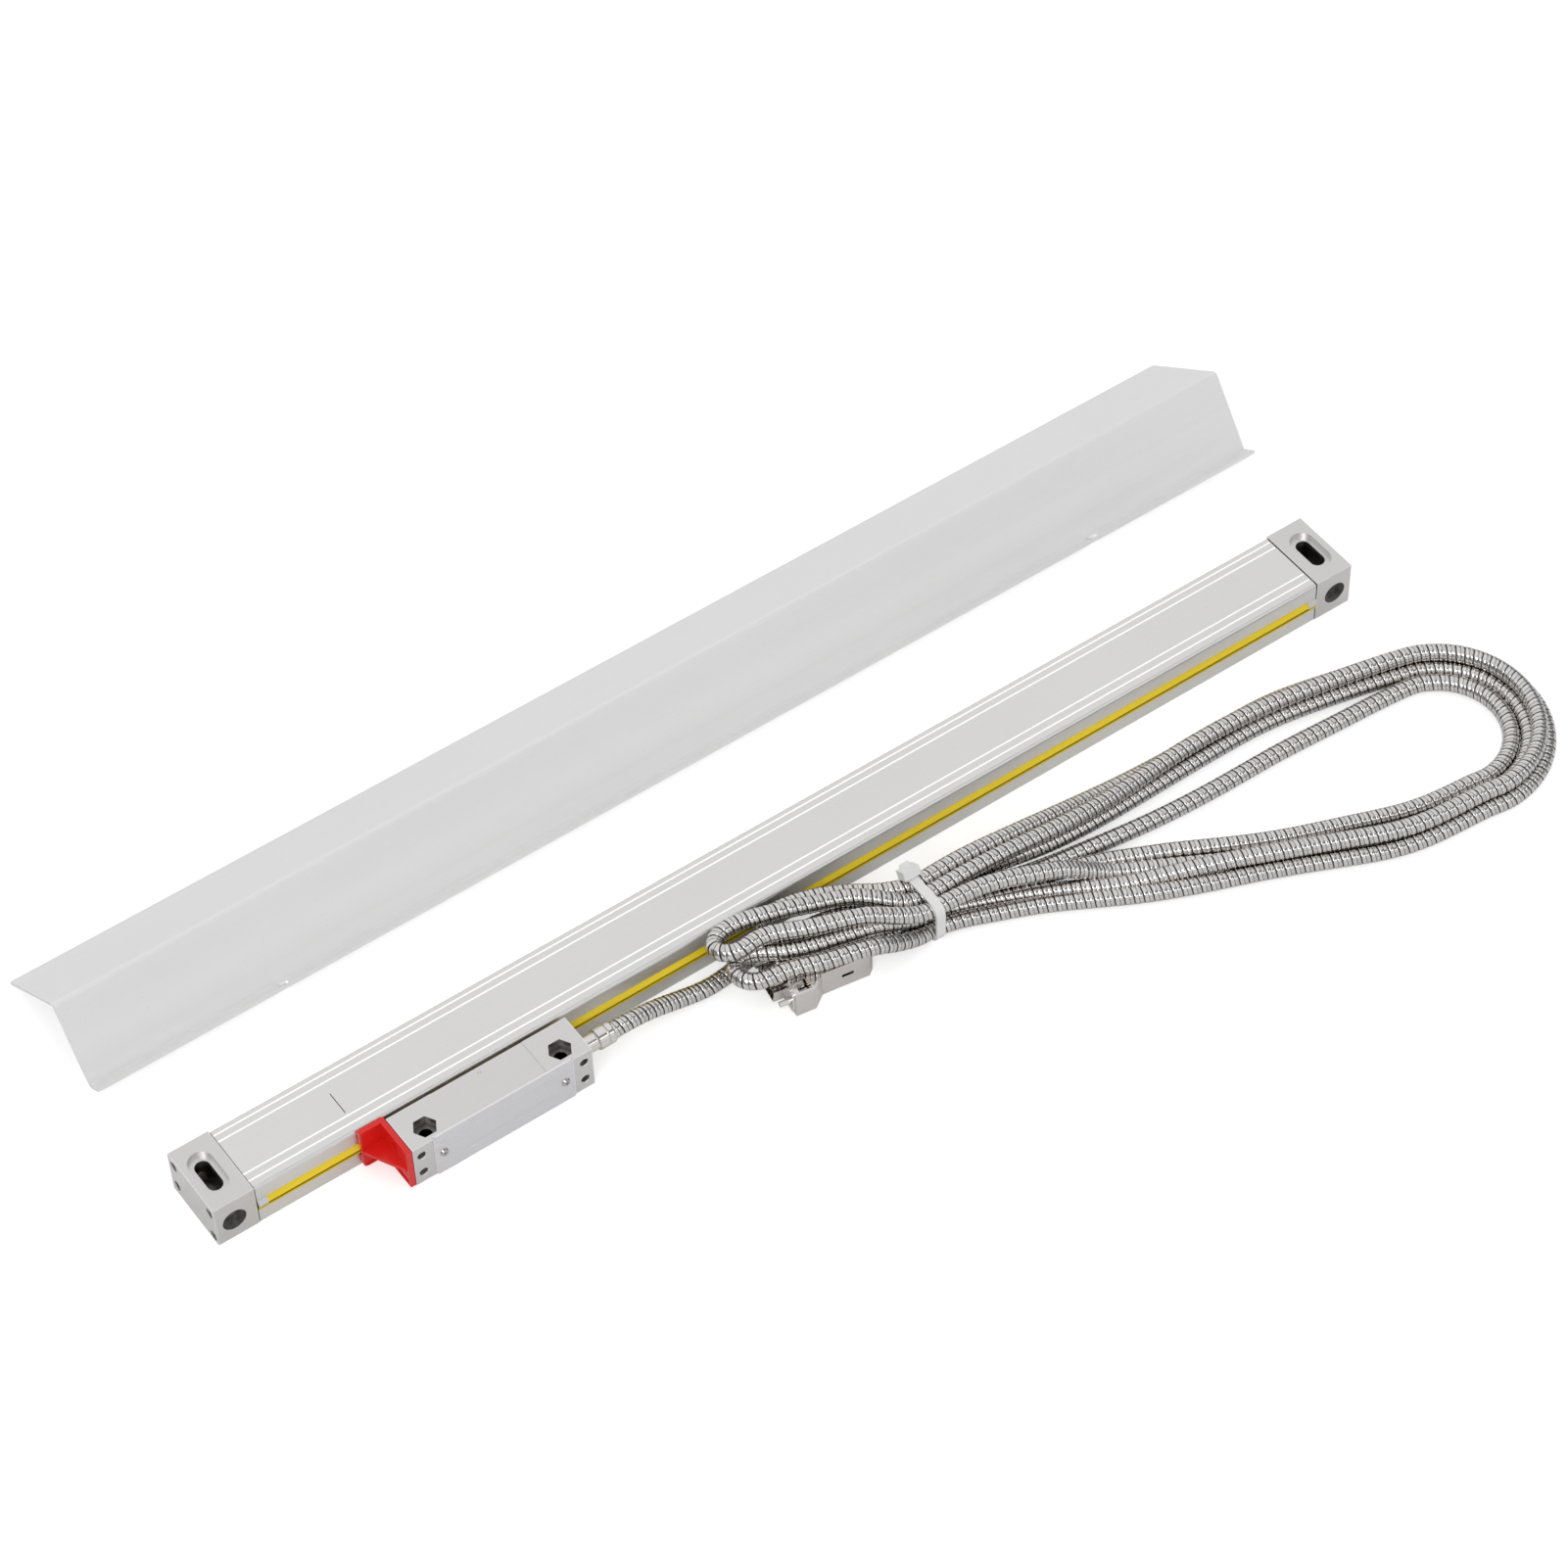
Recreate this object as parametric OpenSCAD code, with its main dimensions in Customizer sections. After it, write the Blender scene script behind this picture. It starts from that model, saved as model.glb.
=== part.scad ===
// Enclosed linear glass scale: an extruded housing with a graduated glass strip inside,
// a reading head that runs along its front, an armoured cable with its plug, the red
// transport bracket and the loose splash guard.
// +X runs along the scale, -Y is the slot side, +Z is up. The origin is the middle of the
// face that the scale lies on.

/* [Scale] */
// Overall length over both end blocks
scale_len = 640; // [520:1:1000]
// Depth of the end blocks, front to back
block_w = 39; // [37:0.5:47]
// Height of the end blocks
block_h = 25.5; // [25.5:0.5:31]
// Length of one end block
block_len = 21; // [18.5:0.5:26]
// How far the housing stands back from the block's top, front and back
housing_inset = 0.2; // [0.1:0.05:0.4]
// Drop from the block's top to the housing's top
housing_drop = 0.5; // [0.3:0.1:1]
// Wall thickness of the housing
wall = 2.4; // [2:0.1:2.9]
// Thickness of the end gaskets
gasket_t = 0.5; // [0.3:0.1:1]

/* [Slot and seal lips] */
// Height of the slot's middle above the base
slot_z = 12; // [11.5:0.1:12.5]
// Height of the slot
slot_h = 7.4; // [6.8:0.1:8]
// How far the lips' edges stand out of the housing
lip_out = 1.5; // [1:0.1:1.8]
// Gap between the lips' edges
lip_gap = 1.6; // [1.5:0.1:2]
// Length of the pieces that close the slot's ends over the upper lip
clamp_len = 5; // [3:0.5:8]

/* [Mounting] */
// Distance from a block's end to its slot and bolt hole
mount_inset = 9.5; // [9:0.1:10]
// Width of the long hole in a block
long_hole_w = 7.5; // [6.5:0.1:8.5]
// Length of the long hole, end to end
long_hole_len = 18; // [14:0.5:20]
// Width of the recess round the long hole
recess_w = 12.3; // [11:0.1:13]
// Depth of that recess
recess_depth = 2.5; // [1:0.5:2.5]
// Diameter of the bolt's head recess in the front of a block
bolt_head_d = 12; // [10:0.5:12]
// Diameter of the bolt hole through a block
bolt_d = 7; // [5.5:0.1:7]
// Height of the bolt hole above the base
bolt_z = 12; // [11.5:0.1:12.5]

/* [Glass] */
// Thickness of the glass strip
glass_t = 3; // [2:0.5:3]
// Width of the glass strip
glass_w = 17; // [15:0.5:17]

/* [Reading head] */
// Place of the head along the scale, from the scale's middle
head_x = -185; // [-190:1:100]
// Length of the head
head_len = 95; // [92:1:110]
// Depth of the head, front to back
head_w = 22; // [22:0.5:26]
// Height of the head
head_h = 25.5; // [24.5:0.5:28]
// Height of the head's underside above the base
head_lift = 0.4; // [0.3:0.1:0.8]
// Gap between the end blocks and the head's back
head_gap = 2.5; // [2.2:0.1:3]
// Distance between the two hexagon pockets
hex_pitch = 71.5; // [68:0.5:76]
// Width across the flats of the hexagon pockets
hex_flats = 10.2; // [8:0.1:10.4]
// Depth of the hexagon pockets
hex_depth = 6; // [3:0.5:8]
// Diameter of the holes under the pockets
hex_hole_d = 6.5; // [4.5:0.1:7]
// Distance along the head between the tapped holes in its front
tap_pitch_x = 86; // [84:0.5:87]
// Height between the tapped holes in its front
tap_pitch_z = 12; // [8:0.5:14]
// Diameter of the tapped holes
tap_d = 4.2; // [3.3:0.1:5]
// Length of the front plate
plate_len = 74; // [70:0.5:76]
// Thickness of the front plate
plate_t = 0.8; // [0.5:0.1:1.5]
// How far the front plate stands above the head
plate_rise = 2; // [0:0.5:3]

/* [Transport bracket] */
// Length of the bracket's foot along the housing
bracket_len = 13.5; // [12:0.5:20]
// Thickness of the bracket's walls
bracket_t = 2.6; // [2.4:0.1:2.8]

/* [Cable] */
// Diameter of the armoured hose
hose_d = 8.5; // [7:0.5:8.5]
// Diameter of the ferrule's neck
neck_d = 8.5; // [8:0.5:10]
// Diameter of the ferrule's collar
collar_d = 10.5; // [9:0.5:13]
// Width of the cable tie
tie_w = 4.8; // [3.6:0.1:6]

/* [Plug] */
// Width of the plug's flange
flange_w = 31; // [30.5:0.1:32]
// Height of the plug's hood
hood_h = 15.5; // [14.5:0.5:16]
// Width of the plug's hood
hood_w = 22; // [21:0.5:24]
// Length of the plug's hood
hood_len = 44; // [38:1:46]

/* [Splash guard] */
// How much longer the guard is than the scale
guard_extra = 25; // [0:1:60]
// Width of the guard's roof
guard_roof = 60; // [45:1:70]
// Height of the guard's front
guard_front = 44; // [36:1:50]
// Width of the guard's lip
guard_lip = 11; // [9:0.5:16]
// Thickness of the guard's sheet
guard_t = 1.5; // [1:0.1:2]
// Distance from the scale's back to the guard's front corner
guard_gap = 69; // [60:1:120]

/* [Hidden] */
$fn = 48;

// Clearances
seam = 0.02;      // between pieces that are screwed or glued together
slip = 0.2;       // between pieces that slide past each other
running = 0.03;   // on the radius of a running fit

// Housing
housing_len = scale_len - 2*block_len - 2*gasket_t;
housing_w = block_w - 2*housing_inset;
housing_h = block_h - housing_drop;
housing_front = -housing_w/2;
top_r = 1.8;              // round of the housing's top edges
bottom_r = 0.8;           // round of its bottom edges
port_d = 2.54;            // screw ports in the corners
port_wall = 1.3;
port_low = 3.6;           // height of the front lower port
port_drop = 4.6;          // from the housing's top down to the upper ports
port_front = housing_front + 3.6;
port_back = housing_w/2 - 4.8;
port_back_low = 6.8;
ports = [[port_front, port_low], [port_front, housing_h - port_drop],
    [port_back, port_back_low], [port_back, housing_h - port_drop + 0.6]];
groove_places = [0.82, 0.61, -0.51, -0.74];   // across the top, as parts of its half width
groove_w = 0.9;
mark_x = -scale_len/2 + 75.3;   // scribed line where the measuring range starts
mark_len = 13;

// Slot and lips
bulb_d = 2;               // round root of a lip
bulb_in = 1.8;            // from the housing's front to the root's middle
bulb_up = slot_h/2 + 1.25;
neck_w = 1;
lip_t = 0.8;
jaw_h = 3.3;              // height of the thicker wall above and below the slot

// Glass and what holds it
glass_z = slot_z + 2;
glass_back = housing_w/2 - wall + 0.6;
shelf_w = 3.5;
shelf_t = 1.8;
track_w = 8;
track_t = 0.1;

// Head
head_back = -block_w/2 - head_gap;
head_front = head_back - head_w;
head_mid_y = (head_back + head_front)/2;
head_top = head_lift + head_h;
hex_y = head_front + 8.1;
tap_low = head_lift + 6.6;
tap_depth = 6;
plate_h = head_h + plate_rise - 0.2;
pocket_len = 57;
pocket_h = 16;
pocket_depth = 15;
plate_screw_x = 32.3;
plate_screw_z = 14;
small_screw_d = 2.5;
small_head_d = 4.6;
relief_len = 48.5;        // shallow milled field on the head's top
relief_depth = 0.4;
exit_y = head_mid_y + 0.5;
exit_z = head_lift + 12.6;
wire_d = 3.4;
wire_y = head_back - 7.4;

// Reader
blade_t = 1.2;
blade_len = 50;
blade_tail = 7.5;         // how far the blade reaches into the head
arm_screw_x = 15;
arm_screw_y = head_back - 3;
carriage_len = 60;
carriage_front = housing_front + wall + 6;
jaw_t = 4.4;              // thickness of the carriage's upper jaw
jaw_gap = 0.5;            // from the glass to the upper jaw
jaw_reach = 11;           // how far the jaws reach over the glass
roller_d = 4.4;
roller_w = 2.4;
roller_x = 22;
pin_d = 1.2;
pin_len = roller_w + 4;
lamp_d = 5;
reticle_len = 26;
reticle_w = 9;
reticle_t = 1.1;
board_len = 21;
board_w = 9;
glass_front = glass_back - glass_w;
face_roller_z = glass_z + glass_t + running + roller_d/2;
face_roller_y = glass_front + 7;
edge_roller_y = glass_front - running - roller_d/2;
edge_roller_z = glass_z + glass_t/2;
lamp_y = glass_front + 5.5;

// Transport bracket
bracket_gap = 0.2;
bracket_holes = [6.5, 18.5];
bracket_hole_y = head_mid_y + 1;

// Ferrule and cable
neck_in = 5.5;            // how far the ferrule's neck sits in the head
neck_out = 8.5;
collar_len = 9;
exit_x = head_x + head_len/2 + neck_out + collar_len;
hose_sides = 12;
hose_lay = hose_d/2 + 0.2;
// The lead's route: along and across from the ferrule's mouth, and height above the base
lead_route = [[0, 0, exit_z], [7, 0.1, exit_z - 0.1], [15, 0.5, 11.9], [24, 1, 9.8], [33, 1, 7.5],
    [42, 0.6, 5.6], [51, 0, 4.7], [60, 0.4, hose_lay], [68, 1.4, hose_lay], [76, 2.4, hose_lay],
    [85, 2.8, hose_lay], [94, 2.2, hose_lay], [102, 0.6, hose_lay], [110, -2, 4.6],
    [118, -5.4, 4.8], [125, -9.2, 5.1], [132, -13, 5.5], [139, -16.2, 5.8], [146, -17.5, 5.9]];
bundle_w = 3*hose_d + 0.4;    // eight runs of hose in rows of three, two and three
bundle_h = 2.73*hose_d + 0.4;
bundle_r = 6;
tie_t = 1.3;
bundle_z = bundle_h/2 + tie_t + 0.2;
tie_x = exit_x + 155;
tie_y = exit_y - 26;
neck_from = exit_x + 146 + 2*seam;
neck_to = exit_x + 175;
loops_h = 2*hose_d + 0.8;
loop_r = 54;
loop_x = exit_x + 418.5;
loop_y = exit_y - 82;
folds_z = 16;
folds_h = 2*hose_d + 0.8;

// Plug, drawn with its flange's face at x = 0 and its cable end towards +x
plug_x = exit_x + 79;
plug_y = exit_y - 18;
plug_turn = -9;
flange_h = 12.5;
flange_t = 1;
shell_w = 16.9;
shell_h = 8.4;
shell_len = 6;
shell_t = 0.5;
pin_pitch = 2.77;
ear_w = 33.4;
ear_len = 11;
taper_len = 6;
ear_window = 6.4;
thumb_y = 12.5;
thumb_d = 2.8;
knob_d = 5.4;
knob_len = 5;
bushing_d = 11;
bushing_len = 10;
hood_wall = 1.6;
hood_mid = hood_h/2;
hood_screw_x = hood_len - 7;
hood_screw_y = hood_w/2 - 3.2;

// Guard: it lies on its back edge and on the corner over its lip
bend_r = 2;               // outer radius of the guard's folds
rest_y = guard_roof + bend_r - guard_t;
rest_z = guard_front - bend_r - guard_t;
guard_tilt = atan(rest_z/rest_y) + asin(bend_r/norm([rest_y, rest_z]));
guard_len = scale_len + guard_extra;
guard_x = 10.25;
guard_corner_y = block_w/2 + guard_gap;
guard_hole_x = 233;
guard_hole_d = 4;

// ---- shapes used by several pieces ----

// Extrudes a section drawn in the YZ plane along X, centred on x
module along_x(x, len) {
    translate([x - len/2, 0, 0]) rotate([90, 0, 90]) linear_extrude(len) children();
}

// Rounded rectangle from its lower corner, with one radius at the top and one at the bottom
module soft_rect(w, h, r_top, r_bottom) {
    difference() {
        translate([-w/2, 0]) square([w, h]);
        for (s = [-1, 1]) {
            corner_cut(s*w/2, h, r_top, -s, -1);
            corner_cut(s*w/2, 0, r_bottom, -s, 1);
        }
    }
}

// What a round of radius r takes off the corner at (x, y); sx and sy point into the shape
module corner_cut(x, y, r, sx, sy) {
    translate([x, y]) scale([sx, sy]) difference() {
        translate([-1, -1]) square([r + 1, r + 1]);
        translate([r, r]) circle(r);
    }
}

// Long hole or long plate with round ends, its length along Y
module obround(w, len) {
    square([w, len - w], center = true);
    for (s = [-1, 1]) translate([0, s*(len - w)/2]) circle(d = w);
}

// Rectangle with four round corners, centred
module round_rect(w, h, r) {
    square([w - 2*r, h], center = true);
    square([w, h - 2*r], center = true);
    for (sx = [-1, 1], sy = [-1, 1]) translate([sx*(w/2 - r), sy*(h/2 - r)]) circle(r);
}

// Screw along +Z from its head's top at z = 0 down into the work
module screw(head_d, head_h, d, len) {
    translate([0, 0, -head_h]) cylinder(d = head_d, h = head_h);
    translate([0, 0, -head_h - len]) cylinder(d = d, h = len + 0.01);
}

// ---- housing and end blocks ----

module housing_section() {
    difference() {
        union() {
            difference() {
                soft_rect(housing_w, housing_h, top_r, bottom_r);
                translate([-housing_w/2 + wall, wall])
                    square([housing_w - 2*wall, housing_h - 2*wall]);
            }
            for (p = ports) translate(p) circle(d = port_d + 2*port_wall);
            // thicker wall above and below the slot, for the lips' round roots
            for (z = [slot_z - slot_h/2 - jaw_h, slot_z + slot_h/2]) translate([housing_front + 0.5, z])
                square([bulb_in + bulb_d/2 + 0.4, jaw_h]);
            // ledges that hold the glass
            for (z = [glass_z - slip - shelf_t, glass_z + glass_t + slip])
                translate([housing_w/2 - wall - shelf_w, z]) square([shelf_w + 0.5, shelf_t]);
        }
        // slot and the lips' round grooves
        translate([housing_front - 1, slot_z - slot_h/2]) square([wall + 6, slot_h]);
        for (s = [-1, 1]) {
            translate([housing_front + bulb_in, slot_z + s*bulb_up]) circle(d = bulb_d + 2*running);
            translate([housing_front + bulb_in - neck_w/2 - running, slot_z + (s > 0 ? 0 : -bulb_up)])
                square([neck_w + 2*running, bulb_up]);
        }
        // glass groove in the back wall
        translate([housing_w/2 - wall - 0.1, glass_z - slip])
            square([0.9, glass_t + 2*slip]);
        for (p = ports) translate(p) circle(d = port_d);
        // fine grooves along the top
        for (k = groove_places)
            translate([k*housing_w/2, housing_h]) rotate(45) square(groove_w/sqrt(2), center = true);
    }
}

module housing() {
    color("gainsboro") difference() {
        along_x(0, housing_len) housing_section();
        translate([mark_x, -1.5, housing_h]) rotate([0, 45, 0])
            cube([0.3, mark_len, 0.3], center = true);
    }
}

// side is -1 for the left block and 1 for the right one
module end_block(side) {
    mx = side*(scale_len/2 - mount_inset);
    difference() {
        along_x(side*(scale_len - block_len)/2, block_len) soft_rect(block_w, block_h, 0.4, 0.4);
        translate([mx, 0, -1]) linear_extrude(block_h + 2) obround(long_hole_w, long_hole_len);
        translate([mx, 0, block_h - recess_depth]) linear_extrude(recess_depth + 1)
            obround(recess_w, long_hole_len + recess_w - long_hole_w + 2);
        translate([mx, 0, bolt_z]) rotate([90, 0, 0]) cylinder(d = bolt_d, h = block_w + 2, center = true);
        translate([mx, -block_w/2 + 6, bolt_z]) rotate([90, 0, 0]) cylinder(d = bolt_head_d, h = 7);
        for (p = ports) translate([side*scale_len/2, p[0], p[1]]) rotate([0, -side*90, 0]) {
            translate([0, 0, -1]) cylinder(d = port_d + 0.4, h = block_len + 2);
            translate([0, 0, -1]) cylinder(d = small_head_d + 0.4, h = 3.6);
        }
    }
}

module left_end_block() { color("silver") end_block(-1); }

module right_end_block() { color("silver") end_block(1); }

module end_screws(side) {
    for (p = ports) translate([side*(scale_len/2 - 0.3), p[0], p[1]]) rotate([0, side*90, 0])
        difference() {
            screw(small_head_d, 2.3 - seam, small_screw_d, block_len + 6);
            translate([0, 0, -1.3]) cylinder(d = 2.3, h = 2, $fn = 6);
        }
}

module left_end_screws() { color("dimgray") end_screws(-1); }

module right_end_screws() { color("dimgray") end_screws(1); }

module gasket(side) {
    difference() {
        along_x(side*(housing_len + gasket_t)/2, gasket_t - seam)
            soft_rect(housing_w - 0.4, housing_h - 0.4, top_r, bottom_r);
        for (p = ports) translate([side*housing_len/2, p[0], p[1]])
            rotate([0, 90, 0]) cylinder(d = port_d + 0.6, h = 4, center = true);
    }
}

module left_gasket() { color("black") gasket(-1); }

module right_gasket() { color("black") gasket(1); }

// ---- seal lips ----

// Section of the upper lip: a round root, a neck and the blade that leans out to the slot's middle
module lip_section() {
    root_y = housing_front + bulb_in;
    jaw = slot_h/2 - 0.15;
    tip_y = housing_front - lip_out;
    tip_z = lip_gap/2;
    translate([root_y, bulb_up]) circle(d = bulb_d);
    translate([root_y - neck_w/2, jaw - lip_t/2]) square([neck_w, bulb_up - jaw + lip_t/2]);
    polygon([[root_y + neck_w/2, jaw], [housing_front + 0.3, jaw], [tip_y, tip_z + 0.5],
        [tip_y, tip_z], [tip_y + 0.6, tip_z], [housing_front + 0.7, jaw - lip_t],
        [root_y + neck_w/2, jaw - lip_t]]);
}

module upper_lip() {
    color("gold") along_x(0, housing_len - 2*clamp_len) translate([0, slot_z]) lip_section();
}

module lower_lip() {
    color("gold") along_x(0, housing_len) translate([0, slot_z]) mirror([0, 1]) lip_section();
}

// Block that closes the upper half of the slot at its end, behind which the upper lip stops
module slot_plug(side) {
    top = slot_h/2 - seam;
    low = 0.15;
    front = housing_front - lip_out - 0.1;
    translate([0, 0, slot_z]) along_x(side*(housing_len - clamp_len)/2, clamp_len - 2*seam)
        polygon([[housing_front + wall, low], [housing_front + wall, top],
            [housing_front - 0.2, top], [front, 1.6], [front, low]]);
}

module left_slot_plug() { color("gainsboro") slot_plug(-1); }

module right_slot_plug() { color("gainsboro") slot_plug(1); }

// ---- glass ----

module glass_scale() {
    color("lightcyan", 0.5) translate([-housing_len/2 + 2, glass_front, glass_z])
        cube([housing_len - 4, glass_w, glass_t]);
}

module glass_bond() {
    color("whitesmoke") for (z = [glass_z - slip, glass_z + glass_t])
        translate([-housing_len/2 + 2, glass_back - 3, z]) cube([housing_len - 4, 3, slip]);
}

module grating_track() {
    color("gray") translate([-housing_len/2 + 6, glass_front + 1.5, glass_z - track_t])
        cube([housing_len - 12, track_w, track_t]);
}

// ---- reading head ----

module head_body() {
    color("silver") difference() {
        along_x(head_x, head_len) translate([head_mid_y, head_lift]) soft_rect(head_w, head_h, 0.3, 0.3);
        for (s = [-1, 1]) {
            translate([head_x + s*hex_pitch/2, hex_y, head_top - hex_depth])
                cylinder(r = hex_flats/sqrt(3), h = hex_depth + 1, $fn = 6);
            translate([head_x + s*hex_pitch/2, hex_y, 0]) cylinder(d = hex_hole_d, h = head_top);
            for (k = [0, 1]) translate([head_x + s*tap_pitch_x/2, head_front, tap_low + k*tap_pitch_z])
                rotate([90, 0, 0]) {
                    translate([0, 0, -tap_depth]) cylinder(d = tap_d, h = tap_depth + 1);
                    translate([0, 0, -0.4]) cylinder(d1 = tap_d, d2 = tap_d + 0.82, h = 0.41);
                }
            translate([head_x + s*plate_screw_x, head_front - 1, plate_screw_z]) rotate([-90, 0, 0])
                cylinder(d = small_screw_d + 2*seam, h = 5.4);
            // screw holes through the blade, with sunk heads underneath
            translate([head_x + s*arm_screw_x, arm_screw_y, 0]) {
                cylinder(d = small_screw_d + 2*seam, h = slot_z + 6);
                cylinder(d = small_head_d + 0.4, h = head_lift + 2.6);
            }
        }
        // field milled across the top, and the small dimple at the reading point
        translate([head_x - relief_len/2, head_front - 1, head_top - relief_depth])
            cube([relief_len, head_w + 2, relief_depth + 1]);
        translate([head_x, head_back - 3, head_top - relief_depth - 0.6]) cylinder(d = 1.6, h = 2);
        // pocket for the board, closed by the front plate
        translate([head_x - pocket_len/2, head_front - 1, head_lift + (head_h - pocket_h)/2 - 1])
            cube([pocket_len, pocket_depth + 1, pocket_h]);
        // slit for the reader's blade
        translate([head_x - blade_len/2 - 0.1, head_back - blade_tail, slot_z - blade_t/2 - seam])
            cube([blade_len + 0.2, blade_tail + 1, blade_t + 2*seam]);
        // cable entry
        translate([head_x + head_len/2 - neck_in, exit_y, exit_z]) rotate([0, 90, 0])
            cylinder(d = neck_d + 2*seam, h = neck_in + 1);
        translate([head_x + pocket_len/2 - 1, wire_y, exit_z]) rotate([0, 90, 0])
            cylinder(d = wire_d, h = (head_len - pocket_len)/2 + 1 - neck_in + 0.5);
        // tapped holes in the left end for the transport bracket
        for (z = bracket_holes) translate([head_x - head_len/2 - 1, bracket_hole_y, z])
            rotate([0, 90, 0]) cylinder(d = 2.6, h = 7);
    }
}

module front_plate() {
    color("lightgray") difference() {
        translate([head_x, head_front - seam, head_lift + 0.2 + plate_h/2]) rotate([90, 0, 0])
            linear_extrude(plate_t) round_rect(plate_len, plate_h, 1.2);
        for (s = [-1, 1]) translate([head_x + s*plate_screw_x, head_front + 1, plate_screw_z])
            rotate([90, 0, 0]) cylinder(d = small_screw_d + 0.4, h = plate_t + 3);
    }
}

module plate_screws() {
    color("silver") for (s = [-1, 1])
        translate([head_x + s*plate_screw_x, head_front - plate_t - 2*seam, plate_screw_z])
            rotate([90, 0, 0]) difference() {
                union() {
                    cylinder(d1 = small_head_d, d2 = small_head_d - 1, h = 0.9);
                    translate([0, 0, -5]) cylinder(d = small_screw_d, h = 5.01);
                }
                // cross recess
                for (a = [0, 90]) rotate(a) translate([-1.1, -0.25, 0.3]) cube([2.2, 0.5, 1]);
            }
}

module head_board() {
    color("darkgreen") translate([head_x - 27, head_front + 5, head_lift + 5]) cube([54, 1.6, 14]);
    color("black") for (k = [[-18, 8, 10], [0, 12, 9], [17, 7, 7]])
        translate([head_x + k[0] - k[1]/2, head_front + 6.5, head_lift + 12 - k[2]/2])
            cube([k[1], 1.8, k[2]]);
}

// ---- what rides inside the housing ----

module reader_arm() {
    color("slategray") difference() {
        union() {
            translate([head_x - blade_len/2, head_back - blade_tail + 0.1, slot_z - blade_t/2])
                cube([blade_len, carriage_front - seam - head_back + blade_tail - 0.1, blade_t]);
            // the flange that the carriage bears on
            translate([head_x - blade_len/2, carriage_front - seam - blade_t, slot_z - 3.4])
                cube([blade_len, blade_t, 6.8]);
            // lug that holds the coupling wire
            translate([head_x - 2, carriage_front - blade_t - 1.7, slot_z - 3.4]) cube([4, 1.7, 1.7]);
        }
        translate([head_x, carriage_front - blade_t - 0.8, slot_z - 2.6]) rotate([0, 90, 0])
            cylinder(d = 0.9 + 2*seam, h = 5, center = true);
        for (s = [-1, 1]) translate([head_x + s*arm_screw_x, arm_screw_y, slot_z - 2])
            cylinder(d = small_screw_d + 2*seam, h = 4);
    }
}

module arm_screws() {
    color("dimgray") for (s = [-1, 1]) translate([head_x + s*arm_screw_x, arm_screw_y, head_lift + 0.3])
        rotate([180, 0, 0]) difference() {
            screw(small_head_d, 2.2, small_screw_d, 13);
            translate([0, 0, -1.2]) cylinder(d = 2.3, h = 2, $fn = 6);
        }
}

module carriage() {
    low = slot_z - 8;
    upper_z = glass_z + glass_t + jaw_gap;
    lower_top = glass_z - 3.2;
    reach = glass_front + jaw_reach - carriage_front;
    color("dimgray") difference() {
        union() {
            // web beside the glass's free edge
            translate([head_x - carriage_len/2, carriage_front, low])
                cube([carriage_len, glass_front - 0.6 - carriage_front, upper_z + jaw_t - low]);
            // jaw over the glass
            translate([head_x - carriage_len/2, carriage_front, upper_z])
                cube([carriage_len, reach, jaw_t]);
            // jaw under the glass, with the two ledges that carry the reticle
            translate([head_x - carriage_len/2, carriage_front, low])
                cube([carriage_len, reach, lower_top - low]);
            for (s = [-1, 1]) translate([head_x + s*(reticle_len/2 - 0.8) - 1, glass_front + 1, lower_top - 1])
                cube([2, reticle_w, glass_z - 0.5 - reticle_t - seam - lower_top + 1]);
        }
        for (s = [-1, 1]) {
            // slots and pin holes of the rollers
            translate([head_x + s*roller_x, face_roller_y, upper_z + jaw_t/2])
                cube([roller_d + 0.8, roller_w + 0.6, jaw_t + 2], center = true);
            translate([head_x + s*roller_x, face_roller_y, face_roller_z]) rotate([90, 0, 0])
                cylinder(d = pin_d + 2*seam, h = pin_len + 2*seam, center = true);
            translate([head_x + s*roller_x, edge_roller_y, edge_roller_z]) {
                cylinder(d = roller_d + 0.8, h = roller_w + 0.6, center = true);
                cylinder(d = pin_d + 2*seam, h = pin_len + 2*seam, center = true);
                translate([0, 2, 0]) cube([roller_d + 0.8, 4, roller_w + 0.6], center = true);
            }
        }
        // stepped hole for the lamp, and the bed of the sensor board
        translate([head_x, lamp_y, upper_z - 1]) cylinder(d = lamp_d - 1, h = jaw_t + 2);
        translate([head_x, lamp_y, upper_z + 1]) cylinder(d = lamp_d + 2*seam, h = jaw_t);
        translate([head_x, lamp_y, upper_z + 3.6]) cylinder(d = lamp_d + 1 + 2*seam, h = jaw_t);
        translate([head_x - board_len/2 - 0.3, glass_front + 0.8, lower_top - 1.6])
            cube([board_len + 0.6, board_w + 0.4, 1.7]);
    }
}

module roller_pins() {
    color("silver") for (s = [-1, 1]) {
        translate([head_x + s*roller_x, face_roller_y, face_roller_z]) rotate([90, 0, 0])
            cylinder(d = pin_d, h = pin_len, center = true);
        translate([head_x + s*roller_x, edge_roller_y, edge_roller_z])
            cylinder(d = pin_d, h = pin_len, center = true);
    }
}

module roller() {
    difference() {
        cylinder(d = roller_d, h = roller_w, center = true);
        cylinder(d = pin_d + 2*running, h = roller_w + 1, center = true);
    }
}

module face_roller(side) {
    color("silver") translate([head_x + side*roller_x, face_roller_y, face_roller_z])
        rotate([90, 0, 0]) roller();
}

module edge_roller(side) {
    color("silver") translate([head_x + side*roller_x, edge_roller_y, edge_roller_z]) roller();
}

module scanning_reticle() {
    color("lightcyan", 0.6) translate([head_x - reticle_len/2, glass_front + 1, glass_z - 0.5 - reticle_t])
        cube([reticle_len, reticle_w, reticle_t]);
}

module lamp() {
    upper_z = glass_z + glass_t + jaw_gap;
    color("white") translate([head_x, lamp_y, upper_z + 1 + seam]) {
        cylinder(d = lamp_d, h = 2.8);
        translate([0, 0, 2.6]) cylinder(d = lamp_d + 1, h = 0.7);
    }
}

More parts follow.
